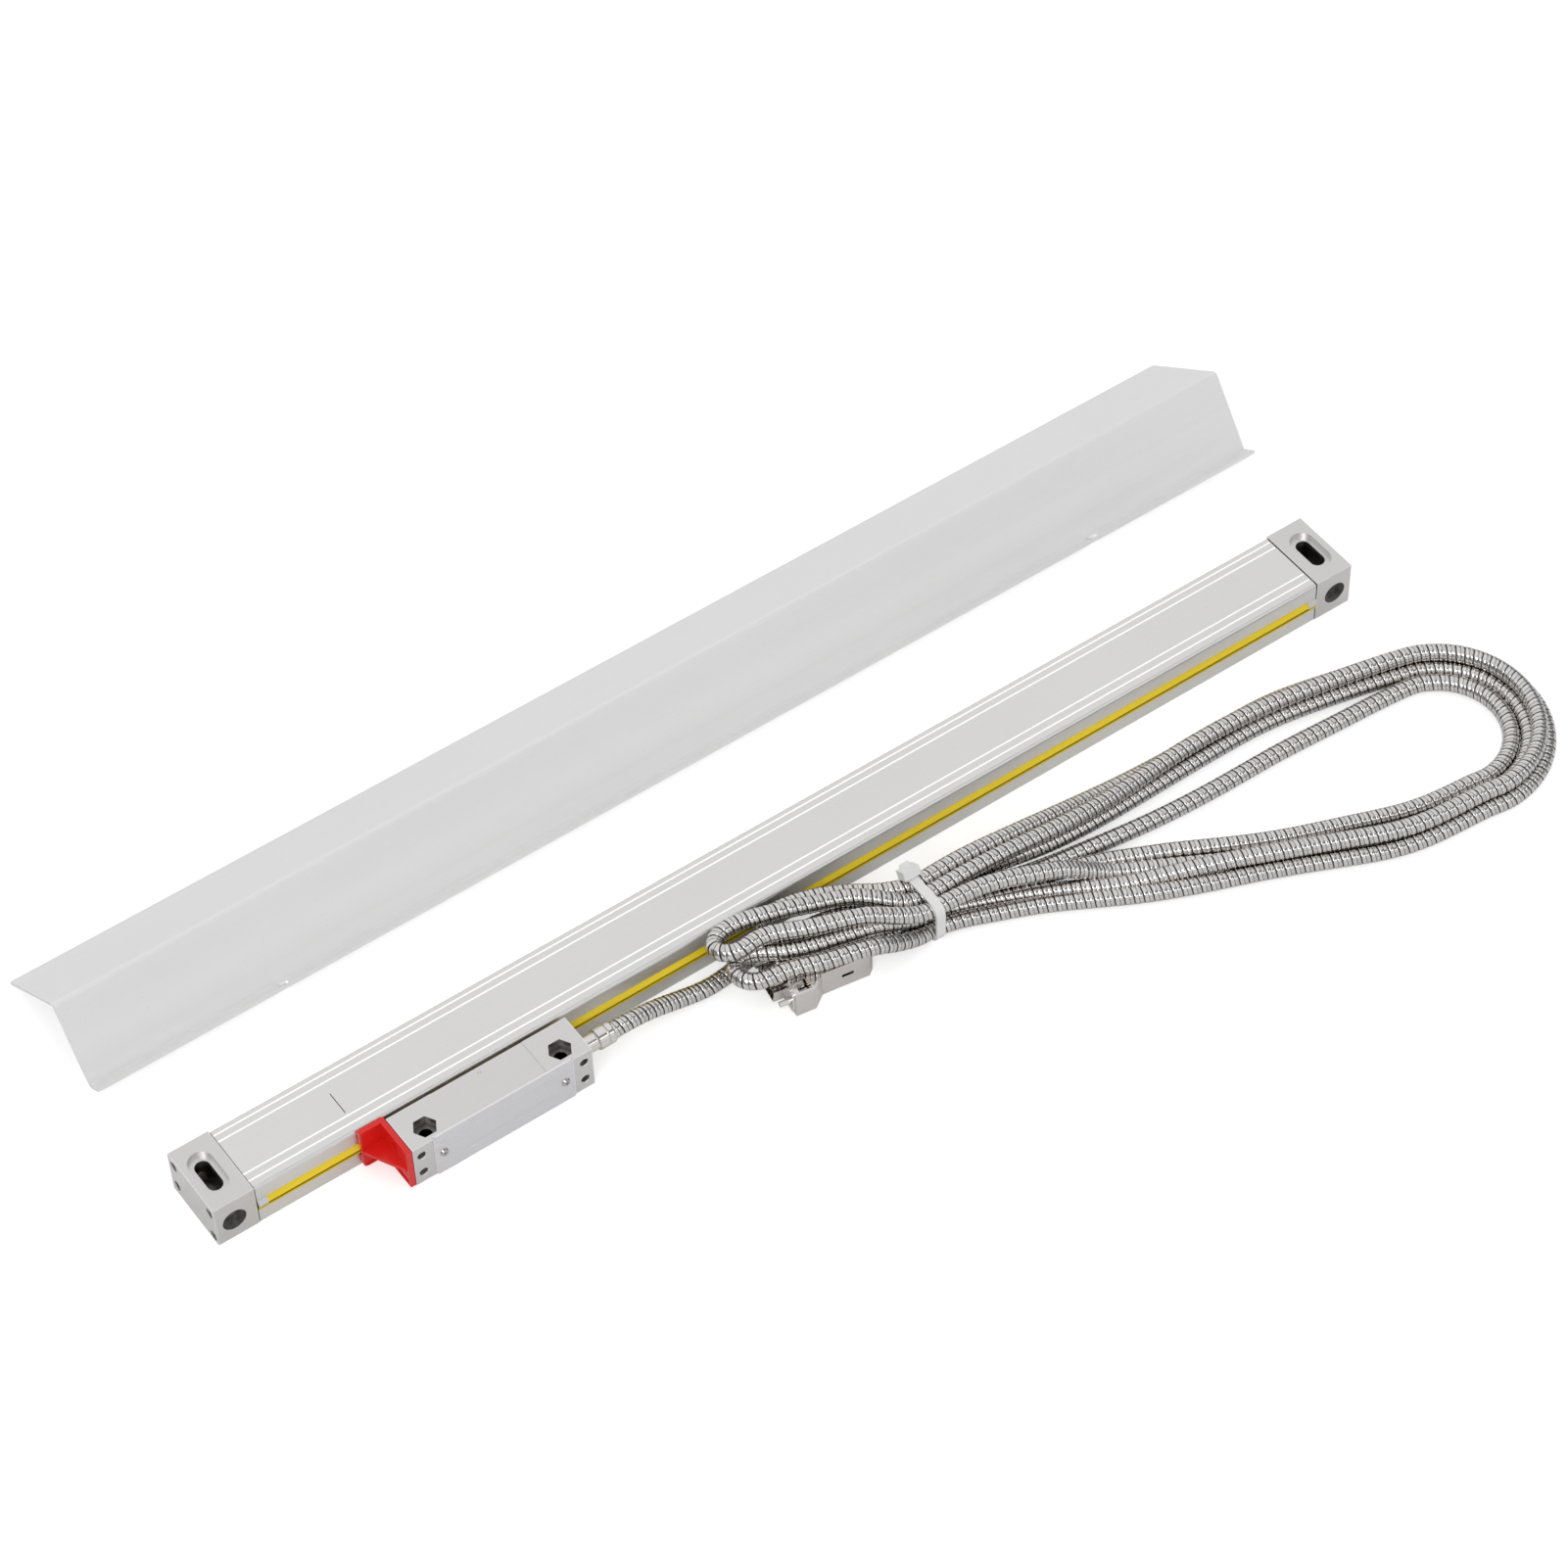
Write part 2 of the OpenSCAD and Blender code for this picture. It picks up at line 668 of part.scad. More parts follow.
module sensor_board() {
    z = glass_z - 4.8 + seam;
    color("darkgreen") translate([head_x - board_len/2, glass_front + 1, z]) cube([board_len, board_w, 1]);
    color("black") for (k = [-1, 1], j = [-1, 1])
        translate([head_x + k*4 - 1.5, lamp_y + j*2.2 - 1.5, z + 0.99]) cube([3, 3, 0.7]);
}

// Spring wire that draws the carriage after the arm
module coupling_wire() {
    y = carriage_front - blade_t - 0.8;
    color("silver") {
        translate([head_x, y, slot_z - 2.6]) rotate([0, 90, 0])
            cylinder(d = 0.9, h = blade_len + 6, center = true);
        for (s = [-1, 1]) translate([head_x + s*(blade_len/2 + 2.5), y, slot_z - 2.6])
            rotate([-90, 0, 0]) cylinder(d = 0.9, h = 0.8 + blade_t - seam);
    }
}

// ---- transport bracket ----

module transport_bracket() {
    end_x = head_x - head_len/2 - bracket_gap;
    foot_y = -block_w/2 - bracket_gap;
    channel_deep = lip_out - housing_inset - bracket_gap + 0.4;
    web_z = slot_z;
    low = head_lift + 0.3;
    high = head_top - 0.4;
    rim = 1.2;
    color("red") difference() {
        union() {
            // wall against the head's end, thinner inside its rim
            translate([end_x - bracket_t, head_front + 0.3, low])
                cube([bracket_t, foot_y - head_front - 0.3, high - low]);
            // foot along the housing
            translate([end_x - bracket_len, foot_y - bracket_t, low])
                cube([bracket_len, bracket_t, high - low]);
            // web between the two walls
            translate([0, 0, web_z - 1]) linear_extrude(2)
                polygon([[end_x - 0.5, foot_y - 0.5], [end_x - bracket_len + 0.6, foot_y - 0.5],
                    [end_x - bracket_len + 0.6, foot_y - bracket_t - 0.8],
                    [end_x - bracket_t - 0.6, head_front + 2.2], [end_x - 0.5, head_front + 2.2]]);
        }
        // shallow panels that leave a rim round each wall
        for (z = [[low + rim, web_z - 1], [web_z + 1, high - rim]]) {
            translate([end_x - bracket_t - 1, head_front + 0.3 + rim, z[0]])
                cube([1.5, foot_y - bracket_t - head_front - 0.3 - rim, z[1] - z[0]]);
            translate([end_x - bracket_len + rim, foot_y - bracket_t - 1, z[0]])
                cube([bracket_len - bracket_t - rim, 1.5, z[1] - z[0]]);
        }
        for (z = bracket_holes) translate([end_x - bracket_t - 1, bracket_hole_y, z])
            rotate([0, 90, 0]) cylinder(d = 3.2, h = bracket_t + 2);
        // channel that clears the seal lips
        translate([end_x - bracket_len - 1, foot_y - channel_deep, slot_z - slot_h/2 - 0.6])
            cube([bracket_len + 2, channel_deep + 1, slot_h + 1.2]);
        // the foot's lower corner is rounded off
        translate([end_x - bracket_len, foot_y + 1, low]) rotate([90, 0, 0])
            linear_extrude(bracket_t + 2) corner_cut(0, 0, 2.5, 1, 1);
    }
}

// ---- cable ----

module cable_ferrule() {
    color("silver") translate([head_x + head_len/2, exit_y, exit_z]) rotate([0, 90, 0])
        rotate_extrude() difference() {
            union() {
                translate([0, -neck_in + seam]) square([neck_d/2, neck_in + neck_out]);
                translate([0, neck_out]) square([collar_d/2, collar_len]);
            }
            // the collar's chamfers and the groove where it is crimped
            translate([collar_d/2, neck_out]) rotate(45) square(0.9, center = true);
            translate([collar_d/2, neck_out + collar_len]) rotate(45) square(0.9, center = true);
            translate([collar_d/2, neck_out + collar_len*0.62]) rotate(45) square(0.7, center = true);
            translate([-0.01, -neck_in]) square([wire_d/2, 4]);
        }
}

// Tube swept along a list of points: rings square to the mean of the two runs at each point
function unit(v) = v/norm(v);
function run(p, i) = unit(p[min(i + 1, len(p) - 1)] - p[max(i - 1, 0)]);
function ring(c, dir, r) = let (side = unit(cross(dir, [0, 0, 1])), up = cross(side, dir))
    [for (k = [0:hose_sides - 1]) c + r*(cos(k*360/hose_sides)*side + sin(k*360/hose_sides)*up)];

module swept_tube(p, r, first_dir, last_dir) {
    n = len(p);
    m = hose_sides;
    pts = [for (i = [0:n - 1])
        each ring(p[i], i == 0 ? first_dir : i == n - 1 ? last_dir : run(p, i), r)];
    sides = [for (i = [0:n - 2], k = [0:m - 1])
        [i*m + k, i*m + (k + 1)%m, (i + 1)*m + (k + 1)%m, (i + 1)*m + k]];
    polyhedron(points = pts, faces = concat([[for (k = [m - 1:-1:0]) k]], sides,
        [[for (k = [0:m - 1]) (n - 1)*m + k]]));
}

module cable_lead() {
    route = [for (p = lead_route) [exit_x + seam + p[0], exit_y + p[1], p[2]]];
    color("silver") swept_tube(route, hose_d/2, [1, 0, 0], [1, 0, 0]);
}

// Last stretch of the cable, from the plug's bushing into the bundle
module cable_tail() {
    dir = [cos(plug_turn), sin(plug_turn), 0];
    start = [plug_x, plug_y, hood_mid] + (hood_len + bushing_len + 2*seam)*dir;
    end = [neck_from - seam, tie_y, 5.9];
    middle = (start + end)/2 + [0, -0.3, 0];
    color("silver") swept_tube([start, middle, end], hose_d/2, dir, [1, 0, 0]);
}

// Outer shape of the loops: the neck in the tie and the long teardrop to its right
module cable_loops() {
    color("silver") {
        along_x((neck_from + neck_to)/2 + 10, neck_to - neck_from + 20) translate([tie_y, bundle_z])
            round_rect(bundle_w, bundle_h, bundle_r);
        translate([0, 0, 0.2]) linear_extrude(loops_h) hull() {
            translate([neck_to + 2, tie_y]) circle(bundle_w/2 + 1);
            translate([loop_x, loop_y]) circle(loop_r);
        }
    }
}

// Outer shape of the folds that lie over the plug
module cable_folds() {
    color("silver") translate([0, 0, folds_z]) linear_extrude(folds_h) hull() {
        translate([exit_x + 72, exit_y - 5.5]) circle(17);
        translate([exit_x + 85, exit_y - 23]) circle(16);
        translate([neck_from - 1 - seam, tie_y - 10]) square([1, 20]);
    }
}

module cable_tie() {
    w = bundle_w + 2*seam;
    h = bundle_h + 2*seam;
    color("white") {
        along_x(tie_x, tie_w) translate([tie_y, bundle_z]) difference() {
            round_rect(w + 2*tie_t, h + 2*tie_t, bundle_r + tie_t);
            round_rect(w, h, bundle_r);
        }
        // the lock at the top of the back, with the strap's cut end
        translate([tie_x, tie_y + w/2 - 4, bundle_z + h/2 - 1]) rotate([-30, 0, 0]) {
            translate([-4.5, -3.2, 1.9]) cube([9, 6.4, 4.6]);
            translate([-tie_w/2, 1.4, 3]) cube([tie_w, 1.2, 5.4]);
        }
    }
}

// ---- plug ----

module plug_frame() {
    translate([plug_x, plug_y, 0]) rotate(plug_turn) children();
}

// Outline of the plug's shell in the YZ plane: wider on top than below
module shell_outline(grow) {
    w = shell_w/2 + grow;
    h = shell_h/2 + grow;
    polygon([[-w, h], [w, h], [w - 1.5, -h], [-w + 1.5, -h]]);
}

module plug_shell() {
    color("silver") plug_frame() {
        difference() {
            along_x(flange_t/2, flange_t) translate([0, hood_mid]) round_rect(flange_w, flange_h, 2);
            along_x(0, 5) translate([0, hood_mid]) shell_outline(-shell_t);
            for (s = [-1, 1]) translate([0, s*thumb_y, hood_mid]) rotate([0, 90, 0])
                cylinder(d = thumb_d + 0.5, h = 5, center = true);
        }
        along_x(-shell_len/2 + 0.25, shell_len + 0.5) translate([0, hood_mid]) difference() {
            shell_outline(0);
            shell_outline(-shell_t);
        }
    }
}

module plug_insulator() {
    color("black") plug_frame() difference() {
        along_x(1.2, 4.4) translate([0, hood_mid]) shell_outline(-shell_t - seam);
        plug_pin_places() rotate([0, 90, 0]) cylinder(d = 1 + 2*seam, h = 12, center = true);
    }
}

// Five places in the upper row and four in the lower one
module plug_pin_places() {
    for (k = [-2:2]) translate([0, k*pin_pitch, hood_mid + 1.42]) children();
    for (k = [-1.5:1.5]) translate([0, k*pin_pitch, hood_mid - 1.42]) children();
}

module plug_pins() {
    color("goldenrod") plug_frame() plug_pin_places() translate([-4.8, 0, 0]) rotate([0, 90, 0])
        cylinder(d = 1, h = 10);
}

// Plan of the hood: ears at the flange, a taper, then a straight body with cut rear corners
module hood_plan() {
    x0 = flange_t + seam;
    cut = 3;
    half = hood_w/2;
    side = [[x0, ear_w/2], [ear_len, ear_w/2], [ear_len + taper_len, half],
        [hood_len - cut, half], [hood_len, half - cut]];
    polygon(concat(side, [for (k = [len(side) - 1:-1:0]) [side[k][0], -side[k][1]]]));
}

module hood_half(lower) {
    low = lower ? 0.2 : hood_mid + seam/2;
    high = lower ? hood_mid - seam/2 : hood_h - 0.2;
    difference() {
        union() {
            difference() {
                translate([0, 0, low]) linear_extrude(high - low) hood_plan();
                // hollow for the wires
                translate([flange_t - 1, -hood_w/2 + hood_wall, hood_wall]) cube([hood_len - hood_wall
                    - flange_t + 1, hood_w - 2*hood_wall - 0.01, hood_h - 2*hood_wall]);
            }
            // posts round the screws
            for (s = [-1, 1]) translate([hood_screw_x, s*hood_screw_y, low])
                cylinder(d = 4.4, h = high - low);
        }
        // cable's way out
        translate([hood_len - 6, 0, hood_mid]) rotate([0, 90, 0]) cylinder(d = bushing_d - 2.6, h = 12);
        for (s = [-1, 1]) {
            // windows in the ears for the thumb screws' knobs, and the holes for their shanks
            translate([ear_len - 1.2 - ear_window, s*thumb_y - 3, -1]) cube([ear_window, 6, hood_h + 2]);
            translate([0, s*thumb_y, hood_mid]) rotate([0, 90, 0]) cylinder(d = thumb_d + 0.5, h = 8);
            translate([hood_screw_x, s*hood_screw_y, -1]) cylinder(d = 2, h = hood_h + 2);
            if (!lower) translate([hood_screw_x, s*hood_screw_y, hood_h - 1.5]) cylinder(d = 4, h = 2);
            // slot of the catch in the parting line
            translate([hood_len - 17, s*(hood_w/2 - 0.7) - 1, hood_mid - 0.9]) cube([6, 2, 1.8]);
        }
    }
}

module hood_base() { color("silver") plug_frame() hood_half(true); }

module hood_cover() { color("silver") plug_frame() hood_half(false); }

module hood_screws() {
    color("silver") plug_frame() for (s = [-1, 1])
        translate([hood_screw_x, s*hood_screw_y, hood_h - 0.4]) difference() {
            screw(3.8, 1.1 - seam, 2 - 2*seam, hood_h - 4);
            translate([-2, -0.25, -0.6]) cube([4, 0.5, 1]);
        }
}

module thumb_screw(side) {
    knob_x = ear_len - 1.2 - ear_window + (ear_window - knob_len)/2;
    color("silver") plug_frame() translate([0, side*thumb_y, hood_mid]) rotate([0, 90, 0]) {
        translate([0, 0, -5.5]) cylinder(d = thumb_d, h = knob_x + 5.6);
        difference() {
            translate([0, 0, knob_x]) cylinder(d = knob_d, h = knob_len);
            for (a = [0:30:330]) rotate(a) translate([knob_d/2, 0, knob_x - 1])
                cylinder(d = 0.7, h = knob_len + 2, $fn = 8);
        }
    }
}

module thumb_screw_front() { thumb_screw(-1); }

module thumb_screw_back() { thumb_screw(1); }

module plug_bushing() {
    color("silver") plug_frame() translate([hood_len, 0, hood_mid]) rotate([0, 90, 0])
        rotate_extrude() difference() {
            union() {
                translate([0, -4]) square([(bushing_d - 2.6)/2 - seam, 5]);
                translate([0, seam]) square([bushing_d/2, bushing_len]);
            }
            translate([bushing_d/2, bushing_len]) rotate(45) square(1.2, center = true);
            translate([-0.01, -4.01]) square([2, 3]);
        }
}

// ---- splash guard ----

// Section of the guard in its own frame: fold at the origin, roof along +Y, front down
module guard_section() {
    difference() {
        union() {
            translate([0, -guard_t]) square([guard_roof, guard_t]);
            translate([0, -guard_front]) square([guard_t, guard_front]);
            translate([-guard_lip + guard_t, -guard_front]) square([guard_lip, guard_t]);
        }
        corner_cut(0, 0, bend_r, 1, -1);
        corner_cut(guard_t, -guard_front, bend_r, -1, 1);
    }
}

module splash_guard() {
    fold_z = guard_roof*sin(guard_tilt) + guard_t*cos(guard_tilt) + seam;
    fold_y = guard_corner_y + guard_front*sin(guard_tilt);
    color("white") difference() {
        along_x(guard_x, guard_len) translate([fold_y, fold_z]) rotate(-guard_tilt) guard_section();
        for (s = [-1, 1]) translate([guard_x + s*guard_hole_x, fold_y, fold_z])
            rotate([-guard_tilt, 0, 0]) translate([0, -guard_lip/2 + 0.3, -guard_front]) {
                cylinder(d = guard_hole_d, h = 8, center = true);
                translate([0, 0, guard_t - 1]) cylinder(d1 = guard_hole_d, d2 = guard_hole_d + 3, h = 1.5);
            }
    }
}

housing();
left_end_block();
right_end_block();
left_end_screws();
right_end_screws();
left_gasket();
right_gasket();
upper_lip();
lower_lip();
left_slot_plug();
right_slot_plug();
glass_scale();
glass_bond();
grating_track();
head_body();
front_plate();
plate_screws();
reader_arm();
arm_screws();
head_board();
carriage();
roller_pins();
face_roller(-1);  // face_roller_left
face_roller(1);  // face_roller_right
edge_roller(-1);  // edge_roller_left
edge_roller(1);  // edge_roller_right
scanning_reticle();
lamp();
sensor_board();
coupling_wire();
transport_bracket();
cable_ferrule();
cable_lead();
cable_tail();
cable_loops();
cable_folds();
cable_tie();
plug_shell();
plug_insulator();
plug_pins();
hood_cover();
hood_base();
hood_screws();
thumb_screw_front();
thumb_screw_back();
plug_bushing();
splash_guard();
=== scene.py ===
import math
import bpy
import bmesh
import numpy as np
from mathutils import Matrix, Vector


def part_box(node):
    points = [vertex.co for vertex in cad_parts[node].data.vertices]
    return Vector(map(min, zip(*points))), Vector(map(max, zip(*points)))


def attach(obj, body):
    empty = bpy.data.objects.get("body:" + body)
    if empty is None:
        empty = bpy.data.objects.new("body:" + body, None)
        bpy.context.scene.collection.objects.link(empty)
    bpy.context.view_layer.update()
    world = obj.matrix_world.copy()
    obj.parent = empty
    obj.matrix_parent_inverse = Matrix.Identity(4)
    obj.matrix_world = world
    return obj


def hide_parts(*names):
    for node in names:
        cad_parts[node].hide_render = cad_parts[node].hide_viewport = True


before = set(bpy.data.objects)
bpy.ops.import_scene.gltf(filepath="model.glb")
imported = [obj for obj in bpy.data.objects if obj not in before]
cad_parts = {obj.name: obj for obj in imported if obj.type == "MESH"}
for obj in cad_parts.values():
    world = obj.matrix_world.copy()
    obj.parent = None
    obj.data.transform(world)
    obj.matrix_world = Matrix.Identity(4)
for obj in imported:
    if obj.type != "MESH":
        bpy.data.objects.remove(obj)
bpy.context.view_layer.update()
mm = 0.001
scene = bpy.context.scene
print("frame loaded:", len(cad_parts), "nodes")


# Camera, floor and light
cameraView = {
    "place": (-0.78252, -1.18016, 1.75560),      # metres
    "forward": (0.35542, 0.53604, -0.76573),
    "right": (0.81584, -0.57771, -0.02573),
    "up": (0.45616, 0.61556, 0.64265),
    "lens": 111.424,                             # millimetres
    "frameWidth": 36,                            # millimetres
    "farEnd": 50,                                # metres
}
studio = {
    "floorSize": 12.0,                           # metres
    "floorColour": (0.86, 0.86, 0.86, 1),
    "floorGlow": 0.50,                           # white that the floor shows by itself to the camera
    "sky": 0.816,                                # brightness of the ceiling and of the room behind
    "sides": 0.30,                               # share left on the dark cards at the left and the right
    # brightness in front by height above the horizon (sine of the angle): the dark line over
    # the floor, the pale wall, a long softbox, the darker gap over it, then the ceiling
    "front": ((0.00, 0.21), (0.05, 0.21), (0.10, 0.80), (0.30, 0.80), (0.36, 0.655), (0.50, 0.67),
              (0.55, 1.18), (0.71, 1.18), (0.77, 0.21), (0.86, 0.24), (0.95, 0.816)),
    "frontFade": (-0.30, 0.05),                  # y of a direction where the front gives way to the sky
    "cardEdge": (0.62, 0.84),                    # |x| of a direction where the cards begin and are full
    "sunFrom": (-0.55, -0.45, 0.80),             # where the soft main light comes from
    "sunPower": 0.55,
    "sunAngle": 0.5,                             # how wide it is, in radians
}


# The camera's matrix has its right, up and backward directions as columns
def makeCamera(view):
    data = bpy.data.cameras.new("view")
    data.sensor_width = view["frameWidth"]
    data.lens = view["lens"]
    data.clip_end = view["farEnd"]
    camera = bpy.data.objects.new("view", data)
    columns = (view["right"], view["up"], tuple(-c for c in view["forward"]))
    camera.matrix_world = Matrix.Translation(view["place"]) @ Matrix(columns).transposed().to_4x4()
    scene.collection.objects.link(camera)
    scene.camera = camera


# An empty material with its output node
def newTree(name):
    material = bpy.data.materials.new(name)
    material.use_nodes = True
    material.node_tree.nodes.clear()
    output = material.node_tree.nodes.new("ShaderNodeOutputMaterial")
    return material, material.node_tree, output


# 1 where a ray comes straight from the camera or through clear glass, else 0
def seenRay(tree):
    path = tree.nodes.new("ShaderNodeLightPath")
    seen = tree.nodes.new("ShaderNodeMath")
    seen.operation = "MAXIMUM"
    tree.links.new(path.outputs["Is Camera Ray"], seen.inputs[0])
    tree.links.new(path.outputs["Is Transmission Ray"], seen.inputs[1])
    return seen.outputs[0]


# White diffuse floor plus a glow of floorGlow where the camera or clear glass sees it
def makeFloor(values):
    material, tree, output = newTree("floorWhite")
    diffuse = tree.nodes.new("ShaderNodeBsdfDiffuse")
    diffuse.inputs["Color"].default_value = values["floorColour"]
    glow = tree.nodes.new("ShaderNodeEmission")
    both = tree.nodes.new("ShaderNodeAddShader")
    strength = tree.nodes.new("ShaderNodeMath")
    strength.operation = "MULTIPLY"
    strength.inputs[1].default_value = values["floorGlow"]
    link = tree.links.new
    link(seenRay(tree), strength.inputs[0])
    link(strength.outputs[0], glow.inputs["Strength"])
    link(diffuse.outputs[0], both.inputs[0])
    link(glow.outputs[0], both.inputs[1])
    link(both.outputs[0], output.inputs["Surface"])
    half = values["floorSize"] / 2
    mesh = bpy.data.meshes.new("floor")
    corners = [(-half, -half, 0), (half, -half, 0), (half, half, 0), (-half, half, 0)]
    mesh.from_pydata(corners, [], [(0, 1, 2, 3)])
    floor = bpy.data.objects.new("floor", mesh)
    floor.data.materials.append(material)
    scene.collection.objects.link(floor)


# Brightness = cards(|x|) * (sky behind, or the front ramp over z where y is negative); the camera
# and clear glass see plain white
def makeSky(values):
    world = bpy.data.worlds.new("studio")
    scene.world = world
    world.use_nodes = True
    tree = world.node_tree
    tree.nodes.clear()
    link = tree.links.new
    output = tree.nodes.new("ShaderNodeOutputWorld")
    place = tree.nodes.new("ShaderNodeTexCoord")
    split = tree.nodes.new("ShaderNodeSeparateXYZ")
    link(place.outputs["Generated"], split.inputs[0])

    def smoothRange(source, low, high, first, last):
        node = tree.nodes.new("ShaderNodeMapRange")
        node.interpolation_type = "SMOOTHSTEP"
        for label, value in (("From Min", low), ("From Max", high), ("To Min", first), ("To Max", last)):
            node.inputs[label].default_value = value
        link(source, node.inputs["Value"])
        return node.outputs[0]

    ramp = tree.nodes.new("ShaderNodeFloatCurve")
    curve = ramp.mapping.curves[0]
    top = max(value for _, value in values["front"])
    curve.points[0].location = (0.0, values["front"][0][1] / top)
    curve.points[1].location = (1.0, values["front"][-1][1] / top)
    for height, value in values["front"][1:]:
        curve.points.new(height, value / top)
    ramp.mapping.update()
    link(split.outputs["Z"], ramp.inputs["Value"])
    front = tree.nodes.new("ShaderNodeMath")
    front.operation = "MULTIPLY"
    front.inputs[1].default_value = top
    link(ramp.outputs[0], front.inputs[0])
    whole = tree.nodes.new("ShaderNodeMix")
    whole.inputs["B"].default_value = values["sky"]
    link(smoothRange(split.outputs["Y"], *values["frontFade"], 0.0, 1.0), whole.inputs["Factor"])
    link(front.outputs[0], whole.inputs["A"])
    size = tree.nodes.new("ShaderNodeMath")
    size.operation = "ABSOLUTE"
    link(split.outputs["X"], size.inputs[0])
    room = tree.nodes.new("ShaderNodeMath")
    room.operation = "MULTIPLY"
    link(whole.outputs[0], room.inputs[0])
    link(smoothRange(size.outputs[0], *values["cardEdge"], 1.0, values["sides"]), room.inputs[1])
    pick = tree.nodes.new("ShaderNodeMix")
    pick.inputs["B"].default_value = 1.0
    back = tree.nodes.new("ShaderNodeBackground")
    back.inputs["Color"].default_value = (1, 1, 1, 1)
    link(room.outputs[0], pick.inputs["A"])
    link(seenRay(tree), pick.inputs["Factor"])
    link(pick.outputs[0], back.inputs["Strength"])
    link(back.outputs[0], output.inputs["Surface"])


# A wide sun that shines from sunFrom towards the middle
def makeSun(values):
    data = bpy.data.lights.new("sun", "SUN")
    data.energy = values["sunPower"]
    data.angle = values["sunAngle"]
    lamp = bpy.data.objects.new("sun", data)
    aim = -Vector(values["sunFrom"])
    lamp.rotation_euler = aim.to_track_quat("-Z", "Y").to_euler()
    scene.collection.objects.link(lamp)


scene.view_settings.view_transform = "Standard"
makeCamera(cameraView)
makeFloor(studio)
makeSky(studio)
makeSun(studio)
print("camera and studio set")


effects = {
    "cloudScale": 9.0,               # blotches a metre, and their octaves
    "cloudDetail": 3.0,
    "wearAndHighlightScale": 260.0,              # blotches a metre that make a worn edge with a painted highlight uneven
    "wearAndHighlightSpread": 1.2,
    "wearAndHighlightReach": 0.5,
    "paintedShadeFrom": 2.4 * mm,           # under a block's faces, where the painted shade in its holes starts
    "paintedShadeOver": 4.5 * mm,           # further on until the painted shade is full
    "speckShare": 0.86,              # share of the cells without a speck
}


# An empty node group with these sockets: {name: (socket type, start value)}
def effectGroup(name, inputs, outputs):
    group = bpy.data.node_groups.new(name, "ShaderNodeTree")
    for label, (kind, value) in inputs.items():
        socket = group.interface.new_socket(label, in_out="INPUT", socket_type=kind)
        if value is not None:
            socket.default_value = value
    for label, kind in outputs.items():
        group.interface.new_socket(label, in_out="OUTPUT", socket_type=kind)
    start = group.nodes.new("NodeGroupInput")
    end = group.nodes.new("NodeGroupOutput")
    return group, start, end


# Links another node's output to a socket, or sets the socket to a constant
def feed(tree, socket, value):
    if hasattr(value, "links"):
        tree.links.new(value, socket)
    else:
        socket.default_value = value


# operation(first, second) on two numbers, or on one
def addMath(tree, operation, first, second=None):
    node = tree.nodes.new("ShaderNodeMath")
    node.operation = operation
    feed(tree, node.inputs[0], first)
    if second is not None:
        feed(tree, node.inputs[1], second)
    return node.outputs[0]


# operation(first, second) on two vectors
def addVector(tree, operation, first, second):
    node = tree.nodes.new("ShaderNodeVectorMath")
    node.operation = operation
    feed(tree, node.inputs[0], first)
    feed(tree, node.inputs[1], second)
    return node.outputs[0]


# Directional grain: noise on Object coordinates stretched by Stretch, as a value round 0
def grainEffect():
    group, start, end = effectGroup(
        "surfaceGrain",
        {"Stretch": ("NodeSocketVector", (1, 1, 1)), "Detail": ("NodeSocketFloat", 4.0)},
        {"Grain": "NodeSocketFloat", "Cloud": "NodeSocketFloat"},
    )
    place = group.nodes.new("ShaderNodeTexCoord")
    scaled = addVector(group, "MULTIPLY", place.outputs["Object"], start.outputs["Stretch"])
    noise = group.nodes.new("ShaderNodeTexNoise")
    noise.inputs["Scale"].default_value = 1.0
    group.links.new(scaled, noise.inputs["Vector"])
    group.links.new(start.outputs["Detail"], noise.inputs["Detail"])
    cloud = group.nodes.new("ShaderNodeTexNoise")
    cloud.inputs["Scale"].default_value = effects["cloudScale"]
    cloud.inputs["Detail"].default_value = effects["cloudDetail"]
    group.links.new(place.outputs["Object"], cloud.inputs["Vector"])
    group.links.new(addMath(group, "SUBTRACT", noise.outputs["Fac"], 0.5), end.inputs["Grain"])
    group.links.new(addMath(group, "SUBTRACT", cloud.outputs["Fac"], 0.5), end.inputs["Cloud"])
    return group
